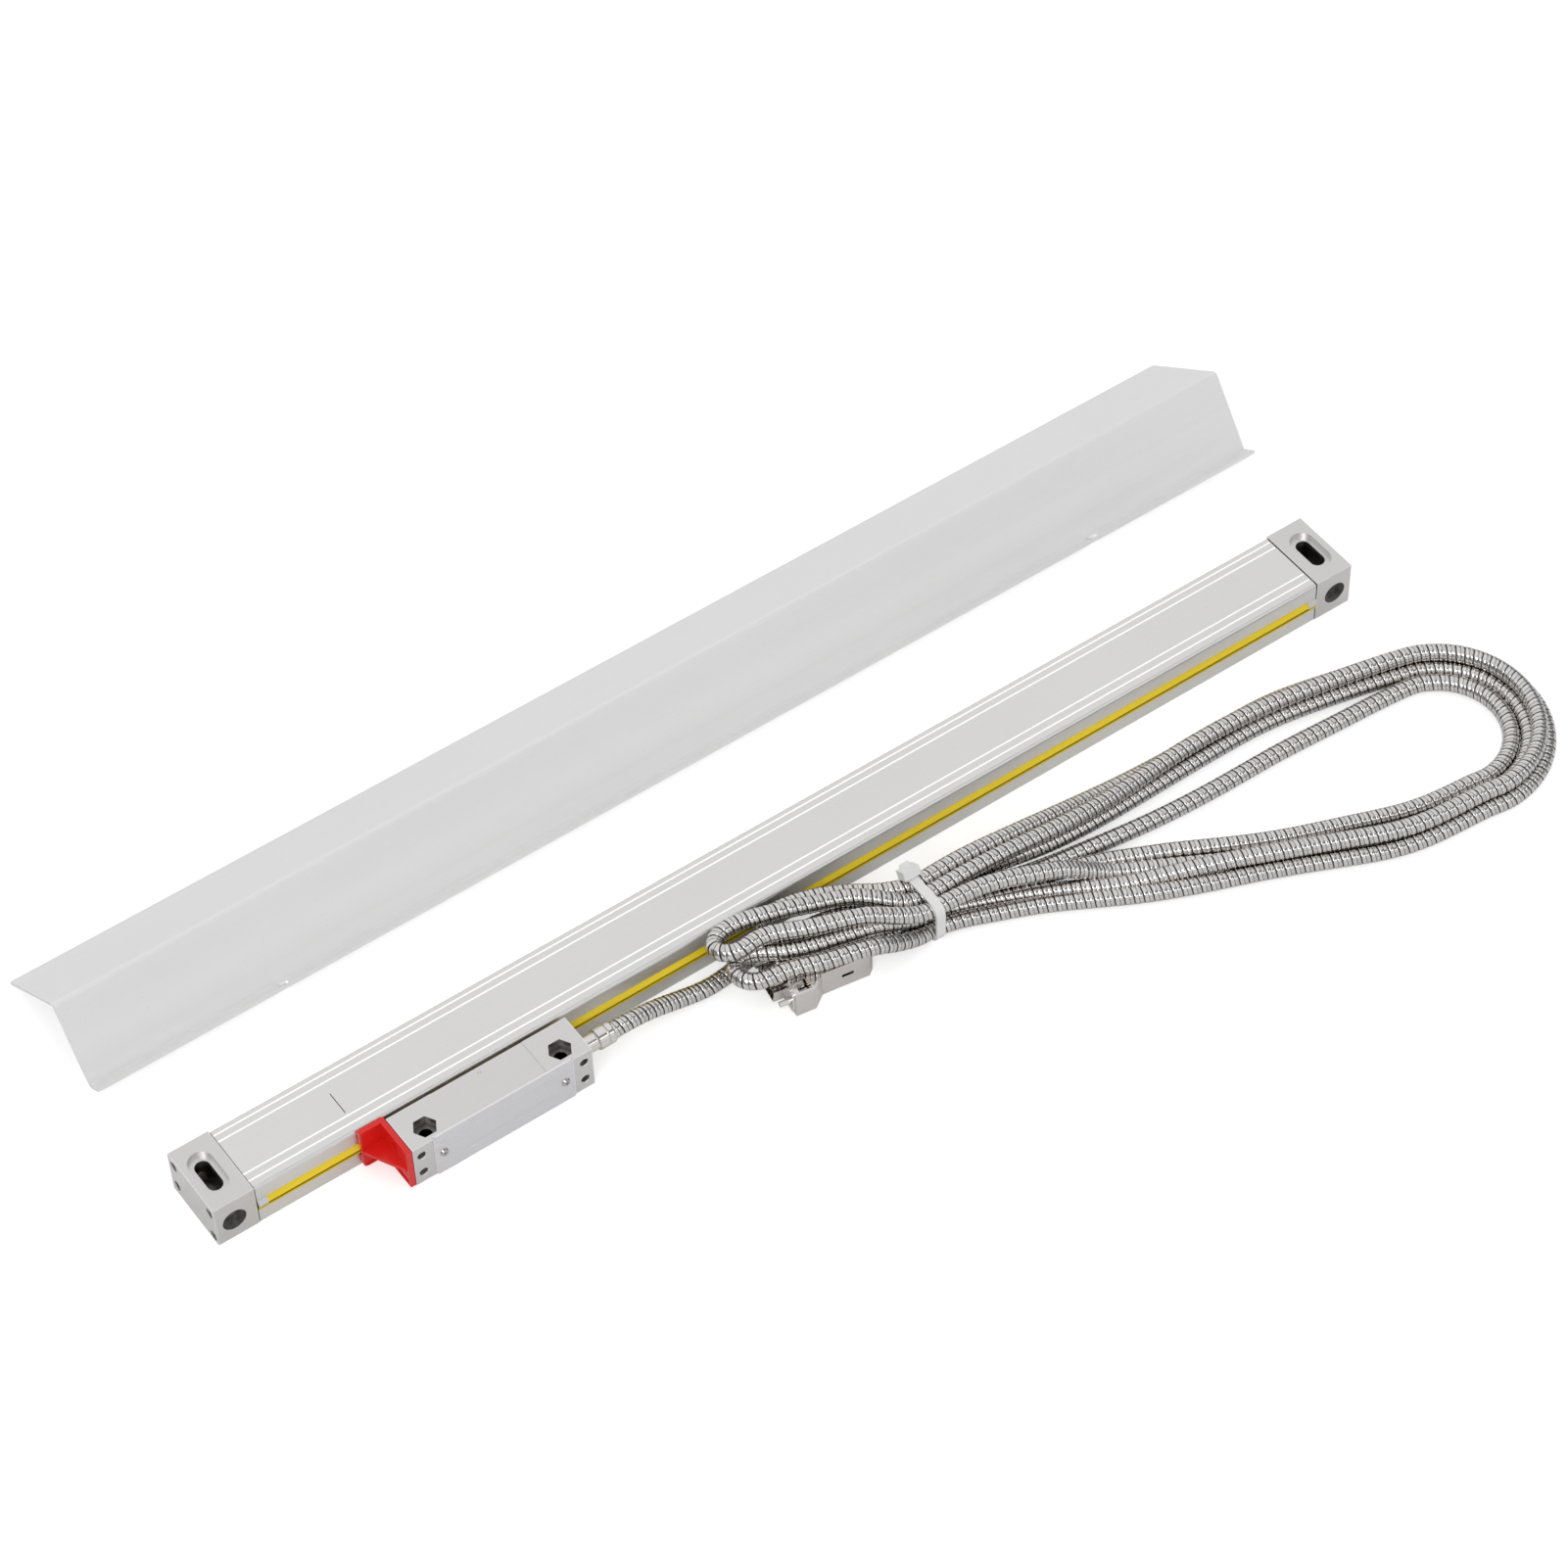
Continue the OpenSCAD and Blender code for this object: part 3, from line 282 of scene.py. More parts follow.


# Wear with a painted highlight at a block's edges, where two of the three distances to its box planes are
# small at once, and the depth of painted shade = (smallest distance - its start) / its spread, which only
# its holes and pockets have
def edgeEffect():
    group, start, end = effectGroup(
        "edgeWearAndHighlight",
        {"Low": ("NodeSocketVector", (0, 0, 0)), "High": ("NodeSocketVector", (1, 1, 1)),
         "Width": ("NodeSocketFloat", 0.0006)},
        {"WearAndHighlight": "NodeSocketFloat", "Depth": "NodeSocketFloat"},
    )
    place = group.nodes.new("ShaderNodeTexCoord")
    noise = group.nodes.new("ShaderNodeTexNoise")
    noise.inputs["Scale"].default_value = effects["wearAndHighlightScale"]
    group.links.new(place.outputs["Object"], noise.inputs["Vector"])
    fromLow = addVector(group, "SUBTRACT", place.outputs["Object"], start.outputs["Low"])
    fromHigh = addVector(group, "SUBTRACT", start.outputs["High"], place.outputs["Object"])
    near = group.nodes.new("ShaderNodeSeparateXYZ")
    group.links.new(addVector(group, "MINIMUM", fromLow, fromHigh), near.inputs[0])
    x, y, z = near.outputs
    smallest = addMath(group, "MINIMUM", addMath(group, "MINIMUM", x, y), z)
    largest = addMath(group, "MAXIMUM", addMath(group, "MAXIMUM", x, y), z)
    total = addMath(group, "ADD", addMath(group, "ADD", x, y), z)
    middle = addMath(group, "SUBTRACT", addMath(group, "SUBTRACT", total, smallest), largest)
    ratio = addMath(group, "DIVIDE", middle, start.outputs["Width"])
    uneven = addMath(group, "MULTIPLY", noise.outputs["Fac"], effects["wearAndHighlightSpread"])
    edge = addMath(group, "SUBTRACT", addMath(group, "ADD", uneven, effects["wearAndHighlightReach"]), ratio)
    limit = group.nodes.new("ShaderNodeClamp")
    group.links.new(edge, limit.inputs["Value"])
    group.links.new(limit.outputs[0], end.inputs["WearAndHighlight"])
    deeper = addMath(group, "SUBTRACT", smallest, effects["paintedShadeFrom"])
    inside = addMath(group, "DIVIDE", deeper, effects["paintedShadeOver"])
    full = group.nodes.new("ShaderNodeClamp")
    group.links.new(inside, full.inputs["Value"])
    group.links.new(full.outputs[0], end.inputs["Depth"])
    return group


# Sparse dust specks: small Voronoi cells whose distance to their seed is under Size
def speckEffect():
    group, start, end = effectGroup(
        "dustSpecks",
        {"Scale": ("NodeSocketFloat", 400.0), "Size": ("NodeSocketFloat", 0.10)},
        {"Specks": "NodeSocketFloat"},
    )
    place = group.nodes.new("ShaderNodeTexCoord")
    cells = group.nodes.new("ShaderNodeTexVoronoi")
    group.links.new(place.outputs["Object"], cells.inputs["Vector"])
    group.links.new(start.outputs["Scale"], cells.inputs["Scale"])
    inside = addMath(group, "LESS_THAN", cells.outputs["Distance"], start.outputs["Size"])
    pick = group.nodes.new("ShaderNodeSeparateColor")
    group.links.new(cells.outputs["Color"], pick.inputs[0])
    some = addMath(group, "GREATER_THAN", pick.outputs["Red"], effects["speckShare"])
    group.links.new(addMath(group, "MULTIPLY", inside, some), end.inputs["Specks"])
    return group


surfaceGrain = grainEffect()
edgeWearAndHighlight = edgeEffect()
dustSpecks = speckEffect()


# Places a shared effect in a material with its own values
def useGroup(tree, group, **values):
    node = tree.nodes.new("ShaderNodeGroup")
    node.node_tree = group
    for label, value in values.items():
        node.inputs[label].default_value = value
    return node


# A colour times a factor socket
def shade(tree, colour, factor):
    node = tree.nodes.new("ShaderNodeVectorMath")
    node.operation = "SCALE"
    feed(tree, node.inputs[0], colour)
    tree.links.new(factor, node.inputs["Scale"])
    return node.outputs[0]


# first * (1 - factor) + second * factor
def mixColour(tree, factor, first, second):
    node = tree.nodes.new("ShaderNodeMix")
    node.data_type = "RGBA"
    sockets = [s for s in node.inputs if s.type == "RGBA"]
    tree.links.new(factor, node.inputs[0])
    for socket, value in zip(sockets, (first, second)):
        feed(tree, socket, value if hasattr(value, "links") else (*value, 1))
    return [s for s in node.outputs if s.type == "RGBA"][0]


metalDetail = {
    "octaves": 3.0,
    "cloudShare": 0.8,               # blotches in colour, as a share of the finish's tone
    "grainRough": 0.22,              # how much the grain changes the roughness
    "speckScale": 420.0,
    "speckSize": 0.12,
    "speckDull": -0.10,
    "wearAndHighlightWidth": 0.00045,            # metres
    # how much brighter worn edges get, which is partly a painted highlight
    "wearAndHighlightBright": 1.28,
    "wearPolish": 0.10,
    "bumpDepth": 0.0002,             # metres
    # painted glint colour of the housing's grooves
    "paintedGlintColour": (1.0, 1.0, 1.0),
    "markColour": (0.06, 0.06, 0.06),
}
# Metals: colour, roughness, stretch of the grain, how strong the grain shows in colour and in
# height, and the colour deep in the holes, which is painted shade
finishes = {
    "housingAnodised": dict(colour=(0.84, 0.835, 0.825), rough=0.36,
                            stretch=(1.2, 900, 900), tone=0.07, bump=0.05),
    "blockMilled": dict(colour=(0.755, 0.74, 0.735), rough=0.34,
                        stretch=(60, 1500, 60), tone=0.08, bump=0.06,
                       inside=(0.10, 0.085, 0.075)),
    "headMilled": dict(colour=(0.78, 0.765, 0.76), rough=0.34,
                       stretch=(40, 1300, 40), tone=0.08, bump=0.06,
                       inside=(0.10, 0.085, 0.075)),
    "plateBrushed": dict(colour=(0.86, 0.85, 0.87), rough=0.30,
                         stretch=(6, 1500, 1500), tone=0.10, bump=0.05,
                       inside=(0.30, 0.29, 0.28)),
    "guardSheet": dict(colour=(0.955, 0.95, 0.95), rough=0.46,
                       stretch=(2.0, 500, 500), tone=0.05, bump=0.03),
    "steelBlack": dict(colour=(0.16, 0.155, 0.15), rough=0.38,
                       stretch=(500, 500, 500), tone=0.15, bump=0.05),
    "steelBright": dict(colour=(0.62, 0.60, 0.58), rough=0.20,
                        stretch=(700, 700, 700), tone=0.08, bump=0.02),
    "steelGround": dict(colour=(0.50, 0.49, 0.475), rough=0.32,
                        stretch=(30, 900, 900), tone=0.10, bump=0.05),
    "nickelBright": dict(colour=(0.84, 0.815, 0.79), rough=0.13,
                         stretch=(400, 400, 400), tone=0.05, bump=0.01),
    "hoodNickel": dict(colour=(0.76, 0.73, 0.705), rough=0.19,
                       stretch=(260, 260, 260), tone=0.06, bump=0.05),
    "pinGold": dict(colour=(0.80, 0.60, 0.26), rough=0.20,
                    stretch=(600, 600, 600), tone=0.05, bump=0.01),
    "carriageBlack": dict(colour=(0.035, 0.035, 0.04), rough=0.42,
                          stretch=(300, 300, 300), tone=0.15, bump=0.05),
}


grooveLines = {
    "under": 0.03 * mm,              # the grooves' walls lie this far to that far below the top
    "deepest": 0.8 * mm,
    "top": 25.0 * mm,                # height of the housing's top
    "halfWidth": 17.2 * mm,          # the grooves lie closer to the middle than this
    "markPlace": (-244.7 * mm, -1.5 * mm),       # the scribed line's middle
    "markHalf": (0.5 * mm, 6.6 * mm),
    "glow": (0.20, 0.20, 0.20),      # small glow that stands for the glint of the grooves' polished walls
}


# Just under the top and where |y| is inside the grooves' band, mark is 1 inside the scribed line's
# rectangle and glint, where the painted glint goes, is 1 in the rest
def grooveMasks(tree):
    place = tree.nodes.new("ShaderNodeTexCoord")
    split = tree.nodes.new("ShaderNodeSeparateXYZ")
    tree.links.new(place.outputs["Object"], split.inputs[0])
    x, y, z = split.outputs
    under = addMath(tree, "LESS_THAN", z, grooveLines["top"] - grooveLines["under"])
    over = addMath(tree, "GREATER_THAN", z, grooveLines["top"] - grooveLines["deepest"])
    narrow = addMath(tree, "LESS_THAN", addMath(tree, "ABSOLUTE", y), grooveLines["halfWidth"])
    groove = addMath(tree, "MULTIPLY", addMath(tree, "MULTIPLY", under, over), narrow)
    mark = groove
    for value, middle, half in zip((x, y), grooveLines["markPlace"], grooveLines["markHalf"]):
        far = addMath(tree, "ABSOLUTE", addMath(tree, "SUBTRACT", value, middle))
        mark = addMath(tree, "MULTIPLY", mark, addMath(tree, "LESS_THAN", far, half))
    return addMath(tree, "SUBTRACT", groove, mark), mark


# Tilts the shader's normal by the slope of the grain
def addBump(tree, shader, grain, strength, depth):
    bump = tree.nodes.new("ShaderNodeBump")
    bump.inputs["Strength"].default_value = strength
    bump.inputs["Distance"].default_value = depth
    tree.links.new(grain.outputs["Grain"], bump.inputs["Height"])
    tree.links.new(bump.outputs[0], shader.inputs["Normal"])


# Anodised or plated metal: directional grain in colour, roughness and height, specks, wear with a painted
# highlight at box edges, painted shade deep in box holes, and a painted glint in the housing's grooves
def metalFinish(name, box=None):
    values, detail = finishes[name], metalDetail
    material, tree, output = newTree(name if box is None else name + "_" + box)
    shader = tree.nodes.new("ShaderNodeBsdfPrincipled")
    shader.inputs["Metallic"].default_value = 1.0
    grain = useGroup(tree, surfaceGrain, Stretch=values["stretch"], Detail=detail["octaves"])
    specks = useGroup(tree, dustSpecks, Scale=detail["speckScale"], Size=detail["speckSize"])
    wide = addMath(tree, "MULTIPLY", grain.outputs["Cloud"], values["tone"] * detail["cloudShare"])
    fine = addMath(tree, "MULTIPLY", grain.outputs["Grain"], values["tone"])
    tone = addMath(tree, "ADD", addMath(tree, "ADD", wide, fine), 1.0)
    colour = shade(tree, values["colour"], tone)
    uneven = addMath(tree, "MULTIPLY", grain.outputs["Grain"], detail["grainRough"])
    rough = addMath(tree, "ADD", uneven, values["rough"])
    if box is not None:
        low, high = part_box(box)
        # painted highlight and wear: the box's edges get brighter and a little smoother
        wearAndHighlight = useGroup(tree, edgeWearAndHighlight, Low=tuple(low), High=tuple(high),
                        Width=detail["wearAndHighlightWidth"])
        bright = tuple(min(1.0, c * detail["wearAndHighlightBright"]) for c in values["colour"])
        colour = mixColour(tree, wearAndHighlight.outputs["WearAndHighlight"], colour, bright)
        polish = addMath(tree, "MULTIPLY", wearAndHighlight.outputs["WearAndHighlight"], detail["wearPolish"])
        rough = addMath(tree, "SUBTRACT", rough, polish)
        # painted shade: holes and pockets darken towards the colour deep in the holes
        colour = mixColour(tree, wearAndHighlight.outputs["Depth"], colour, values["inside"])
    dull = addMath(tree, "MULTIPLY", specks.outputs["Specks"], detail["speckDull"])
    colour = shade(tree, colour, addMath(tree, "ADD", dull, 1.0))
    # painted glint: the housing's grooves get a white colour and a small glow; the scribed line gets its
    # dark mark colour
    if name == "housingAnodised":
        glint, mark = grooveMasks(tree)
        colour = mixColour(tree, glint, colour, detail["paintedGlintColour"])
        colour = mixColour(tree, mark, colour, detail["markColour"])
        shader.inputs["Emission Strength"].default_value = 1.0
        tree.links.new(shade(tree, grooveLines["glow"], glint), shader.inputs["Emission Color"])
    tree.links.new(colour, shader.inputs["Base Color"])
    tree.links.new(rough, shader.inputs["Roughness"])
    addBump(tree, shader, grain, values["bump"], detail["bumpDepth"])
    tree.links.new(shader.outputs[0], output.inputs["Surface"])
    return material


softDetail = {
    "octaves": 4.0,
    "grainRough": 0.18,
    "bumpDepth": 0.0003,             # metres
}
# Plastics and rubbers: colour, roughness, size and strength of the grain
softs = {
    "gasketRubber": dict(colour=(0.022, 0.022, 0.022), rough=0.72, scale=900, tone=0.3, bump=0.15),
    "lipYellow": dict(colour=(0.94, 0.70, 0.012), rough=0.32, scale=120, tone=0.10, bump=0.03),
    "bondSealant": dict(colour=(0.72, 0.72, 0.68), rough=0.45, scale=220, tone=0.08, bump=0.10),
    "boardGreen": dict(colour=(0.012, 0.10, 0.045), rough=0.35, scale=700, tone=0.25, bump=0.06),
    "lampClear": dict(colour=(0.85, 0.85, 0.80), rough=0.15, scale=300, tone=0.04, bump=0.02),
    "bracketRed": dict(colour=(0.82, 0.018, 0.014), rough=0.24, scale=420, tone=0.08, bump=0.03),
    "nylonNatural": dict(colour=(0.88, 0.88, 0.87), rough=0.38, scale=300, tone=0.05, bump=0.06),
    "insulatorBlack": dict(colour=(0.015, 0.015, 0.016), rough=0.40,
                           scale=600, tone=0.2, bump=0.04),
    "wireTin": dict(colour=(0.62, 0.62, 0.62), rough=0.25, scale=600, tone=0.05, bump=0.02),
}


# Plastic or rubber: fine noise in colour, roughness and height
def softFinish(name):
    values = softs[name]
    material, tree, output = newTree(name)
    shader = tree.nodes.new("ShaderNodeBsdfPrincipled")
    stretch = (values["scale"],) * 3
    grain = useGroup(tree, surfaceGrain, Stretch=stretch, Detail=softDetail["octaves"])
    wide = addMath(tree, "MULTIPLY", grain.outputs["Cloud"], values["tone"])
    fine = addMath(tree, "MULTIPLY", grain.outputs["Grain"], values["tone"])
    tone = addMath(tree, "ADD", addMath(tree, "ADD", wide, fine), 1.0)
    tree.links.new(shade(tree, values["colour"], tone), shader.inputs["Base Color"])
    uneven = addMath(tree, "MULTIPLY", grain.outputs["Grain"], softDetail["grainRough"])
    rough = addMath(tree, "ADD", uneven, values["rough"])
    tree.links.new(rough, shader.inputs["Roughness"])
    addBump(tree, shader, grain, values["bump"], softDetail["bumpDepth"])
    tree.links.new(shader.outputs[0], output.inputs["Surface"])
    return material


glass = {
    "colour": (0.93, 0.98, 0.965, 1),
    "ior": 1.5,
    "stretch": (40, 400, 400),
    "octaves": 2.0,
    "rough": 0.04,
    "grainRough": 0.03,
}


# Clear glass, a little uneven in roughness
def glassFinish():
    material, tree, output = newTree("glassClear")
    shader = tree.nodes.new("ShaderNodeBsdfPrincipled")
    shader.inputs["Base Color"].default_value = glass["colour"]
    shader.inputs["Transmission Weight"].default_value = 1.0
    shader.inputs["IOR"].default_value = glass["ior"]
    grain = useGroup(tree, surfaceGrain, Stretch=glass["stretch"], Detail=glass["octaves"])
    uneven = addMath(tree, "MULTIPLY", grain.outputs["Grain"], glass["grainRough"])
    rough = addMath(tree, "ADD", uneven, glass["rough"])
    tree.links.new(rough, shader.inputs["Roughness"])
    tree.links.new(shader.outputs[0], output.inputs["Surface"])
    return material


track = {
    "period": 0.0004,                # metres from one line to the next
    "coated": 0.5,                   # share of the period up to which it is clear
    "rough": 0.12,
    "clear": (0.62, 0.64, 0.66),
    "line": (0.20, 0.23, 0.26),
}


# Bright lines across the glass: a sawtooth along x of the track's period, half of it coated
def trackFinish():
    material, tree, output = newTree("trackLines")
    shader = tree.nodes.new("ShaderNodeBsdfPrincipled")
    shader.inputs["Metallic"].default_value = 1.0
    shader.inputs["Roughness"].default_value = track["rough"]
    place = tree.nodes.new("ShaderNodeTexCoord")
    split = tree.nodes.new("ShaderNodeSeparateXYZ")
    tree.links.new(place.outputs["Object"], split.inputs[0])
    turns = addMath(tree, "DIVIDE", split.outputs["X"], track["period"])
    line = addMath(tree, "GREATER_THAN", addMath(tree, "FRACT", turns), track["coated"])
    colour = mixColour(tree, line, track["clear"], track["line"])
    tree.links.new(colour, shader.inputs["Base Color"])
    tree.links.new(shader.outputs[0], output.inputs["Surface"])
    return material


hose = {
    "diameter": 8.5 * mm,
    "pitch": 4.5 * mm,               # one turn of the wound strip
    "sides": 15,
    "low": 4.45 * mm,                # height of its middle on the floor
    "over": 11.8 * mm,               # height of its middle on two others
    "endCentre": (298.5 * mm, -114.5 * mm),
    "step": 0.5 * mm,                # between the points of its centreline
    "splineSamples": 24000,
    "endPoints": 15,                 # guide points on each half circle
    "endTurn": (75, -105),           # degrees, from where to where those go
    "pathPoints": 871,               # a count of the centreline's points
    "joinWithin": 0.004 * mm,
    "grainStretch": (420, 420, 420),
    "octaves": 3.0,
    "grainTone": 0.14,
    "grainRough": 0.12,
    "gapRough": 0.30,                # how much duller the gap is than the strip
    "colour": (0.79, 0.767, 0.75),
    # painted shade colour of the gap between turns
    "gapShadeColour": (0.025, 0.022, 0.02),
    "rough": 0.055,
    # share of a turn and share of the strip's colour: the gap, the first band, the fold line and
    # the second band, which is a little darker; the dark gap, the dark fold line and the darker second band
    # are painted shade
    "paintedShadeTones": ((0.00, 0.0), (0.05, 0.02), (0.09, 1.0), (0.46, 1.0), (0.49, 0.10), (0.52, 0.10),
              (0.56, 0.90), (0.91, 0.90), (0.95, 0.02)),
    "loopRadii": (32.5 * mm, 49.5 * mm, 41 * mm, 45.2 * mm),
    # share of a turn and share of the full radius: the gap between two turns, the strip's two
    # round bands and the shallow fold line between them
    "profile": ((0.00, 0.885), (0.07, 0.972), (0.17, 1.0), (0.38, 0.998), (0.50, 0.942), (0.60, 0.978),
                (0.83, 0.982), (0.93, 0.955)),
}
# Guide points of the centreline in millimetres, in the order of the hose
leadRoute = [(-120, -32.5, 13), (-113, -32.4, 12.9), (-105, -32, 11.9), (-96, -31.5, 9.8),
             (-87, -31.5, 7.5), (-78, -31.9, 5.6), (-69, -32.5, 4.7), (-60, -32.1, 4.45),
             (-52, -31.1, 4.45), (-44, -30.1, 4.45), (-35, -29.7, 4.45), (-26, -30.3, 4.45),
             (-18, -31.9, 4.45), (-10, -34.5, 4.6), (-2, -37.9, 4.8), (5, -41.7, 5.1),
             (12, -45.5, 5.5), (19, -48.7, 5.8), (26, -50, 5.9)]
innerOut = [(35, -50, 5.9), (48, -50.6, 5.4), (64, -55.8, 4.45), (85, -64, 4.45), (116, -69.8, 4.45),
            (150, -74.5, 4.45), (191, -77.2, 4.45), (227, -77.6, 4.45), (262, -79.5, 4.45)]
innerBack = [(262, -142.5, 4.45), (228, -131, 4.45), (190, -115.4, 4.45), (153, -95.5, 4.45),
             (137, -87.6, 4.5), (120, -80, 4.9), (100, -75, 7.6), (85, -70.5, 10.3),
             (60, -63.4, 12.7), (35, -62.75, 13.3)]
frontFold = [(27, -62, 14.2), (20, -60.8, 16), (12, -59.4, 18.4), (2, -57.2, 19.7), (-11, -53.8, 19.8),
             (-25, -49.8, 19.8), (-35, -45.2, 19.7), (-41.5, -40.8, 19.4), (-47.5, -37.2, 19),
             (-53.5, -37, 18.7), (-57.8, -41, 18.5), (-58, -46.7, 18.5), (-53.8, -51.8, 18.7),
             (-47, -53.8, 19), (-40, -55.3, 19.5), (-30, -58.8, 19.8), (-18.6, -62.5, 19.8),
             (-6, -65.8, 19.7), (4, -68, 17.8), (12, -68.6, 14), (20, -68.2, 10), (27, -67.6, 7.2)]
outerOut = [(35, -67, 5.9), (48, -69.6, 5.2), (60, -74, 4.6), (85, -85, 4.45), (120, -104.5, 4.45),
            (150, -118.5, 4.45), (182, -131.4, 4.45), (216, -147, 4.45), (248, -158.5, 4.45)]
outerBack = [(268, -55, 4.45), (240, -50.3, 4.45), (212, -49.8, 4.45), (182, -49.9, 4.8), (150, -50, 7.4),
             (118, -50, 12.2), (84, -50, 17.6), (56, -50, 20.4), (35, -50, 20.7)]
backFold = [(27, -47.5, 20.7), (20, -43.8, 20.5), (7, -34.8, 20.2), (-8, -27.4, 19.8), (-20, -24.4, 19.6),
            (-27.5, -24.8, 19.5), (-32.8, -28.6, 19.5), (-33.8, -33.8, 19.5), (-30.4, -38.8, 19.6),
            (-23, -41.1, 19.7), (-14, -41.6, 19.7), (-5, -43.2, 19.5), (4, -45.8, 18.4), (12, -49, 16.4),
            (18, -51.2, 15), (26, -53.5, 13.8)]
thirdOut = [(35, -54.25, 13.3), (52, -54.4, 13.1), (64, -54.8, 12.6), (85, -57, 10), (108, -58.8, 6.8),
            (140, -59.4, 4.8), (180, -58.8, 4.45), (216, -58.6, 4.45), (250, -61.5, 4.45)]
thirdBack = [(254, -150.4, 4.45), (222, -138.6, 4.45), (182, -121.5, 4.45), (150, -104.3, 4.45),
             (135, -96, 4.7), (120, -88.2, 5.8), (110, -84.2, 10), (100, -80.4, 14.4), (85, -75.5, 17.6),
             (60, -68.7, 19.9), (35, -67, 20.7)]
longFold = [(25, -65.5, 21.9), (14, -61, 25), (3, -55.6, 27.4), (-11, -50.6, 28), (-25, -45, 28),
            (-36, -39.8, 27.9), (-45, -38.2, 27.7), (-52.5, -38.4, 27.2), (-58.6, -35.4, 26.3),
            (-60.8, -30.8, 25.6), (-58.4, -26.4, 25.4), (-52.5, -24.2, 26), (-45, -24.8, 27),
            (-38, -27, 27.7), (-31, -29.4, 28), (-20, -33, 27.6), (-8, -37, 26.5), (7, -43.5, 26),
            (20, -53.4, 23.8), (27, -57.2, 21.6)]
upperOut = [(35, -58.5, 20.7), (56, -58.5, 20.5), (84, -58.6, 18.6), (118, -59.2, 15.6), (150, -57.6, 12.9),
            (182, -54.6, 11.8), (216, -54.4, 11.8), (252, -58.2, 11.8)]
upperBack = [(251, -154.6, 11.8), (219, -143, 11.8), (182, -126.3, 11.5), (166, -118.6, 10.6),
             (150, -111.2, 8.9), (135, -103.9, 6.4), (120, -96.6, 4.6), (104, -87.2, 4.45),
             (85, -76.6, 4.45), (60, -65.5, 4.6), (35, -58.5, 5.9)]
tailRoute = [(26, -58.5, 5.9), (19, -58.7, 6.6), (12.4, -58.95, 7.75)]


# Points on a circle round the loops' end centre, from one angle in degrees to another
def loopEnd(radius, height, first, last):
    turn = np.radians(np.linspace(first, last, hose["endPoints"]))
    x = hose["endCentre"][0] + radius * np.cos(turn)
    y = hose["endCentre"][1] + radius * np.sin(turn)
    return np.stack([x, y, np.full_like(x, height)], axis=1)


# The whole centreline's guide points in metres: lead, then loop and fold in turn, and the tail
def hoseRoute():
    inner, outer, third, upper = hose["loopRadii"]
    start, end = hose["endTurn"]
    def metres(points):
        return np.array(points, float) * mm
    return np.concatenate([
        metres(leadRoute),
        metres(innerOut), loopEnd(inner, hose["low"], start, end), metres(innerBack),
        metres(frontFold),
        metres(outerOut), loopEnd(outer, hose["low"], end, start), metres(outerBack),
        metres(backFold),
        metres(thirdOut), loopEnd(third, hose["low"], start, end), metres(thirdBack),
        metres(longFold),
        metres(upperOut), loopEnd(upper, hose["over"], start, end), metres(upperBack),
        metres(tailRoute),
    ])


# A natural cubic spline through the points, its parameter the root of each chord's length, sampled
# evenly by arc length
def splineThrough(points, step):
    chord = np.linalg.norm(np.diff(points, axis=0), axis=1)
    knot = np.concatenate([[0], np.cumsum(np.sqrt(chord))])
    gap = np.diff(knot)
    count = len(points)
    matrix = np.eye(count)
    right = np.zeros((count, 3))
    slope = np.diff(points, axis=0) / gap[:, None]
    rows = np.arange(1, count - 1)
    matrix[rows, rows - 1] = gap[:-1]
    matrix[rows, rows] = 2 * (gap[:-1] + gap[1:])
    matrix[rows, rows + 1] = gap[1:]
    right[rows] = 6 * np.diff(slope, axis=0)
    bend = np.linalg.solve(matrix, right)
    value = np.linspace(0, knot[-1], hose["splineSamples"])
    span = np.clip(np.searchsorted(knot, value, side="right") - 1, 0, count - 2)
    after = (value - knot[span])[:, None]
    before = (knot[span + 1] - value)[:, None]
    width = gap[span][:, None]
    line = (bend[span] * before**3 + bend[span + 1] * after**3) / (6 * width)
    line += (points[span] / width - bend[span] * width / 6) * before
    line += (points[span + 1] / width - bend[span + 1] * width / 6) * after
    along = np.concatenate([[0], np.cumsum(np.linalg.norm(np.diff(line, axis=0), axis=1))])
    even = np.arange(0, along[-1], step)
    return np.stack([np.interp(even, along, line[:, k]) for k in range(3)], axis=1), along[-1]


# Tangents of the line with two side directions that turn as little as possible along it
def carriedFrames(line):
    tangent = np.gradient(line, axis=0)
    tangent /= np.linalg.norm(tangent, axis=1)[:, None]
    side = np.empty_like(line)
    side[0] = np.cross(tangent[0], (0, 0, 1))
    side[0] /= np.linalg.norm(side[0])
    for k in range(1, len(line)):
        turned = side[k - 1] - tangent[k] * np.dot(side[k - 1], tangent[k])
        side[k] = turned / np.linalg.norm(turned)
    return tangent, side, np.cross(tangent, side)


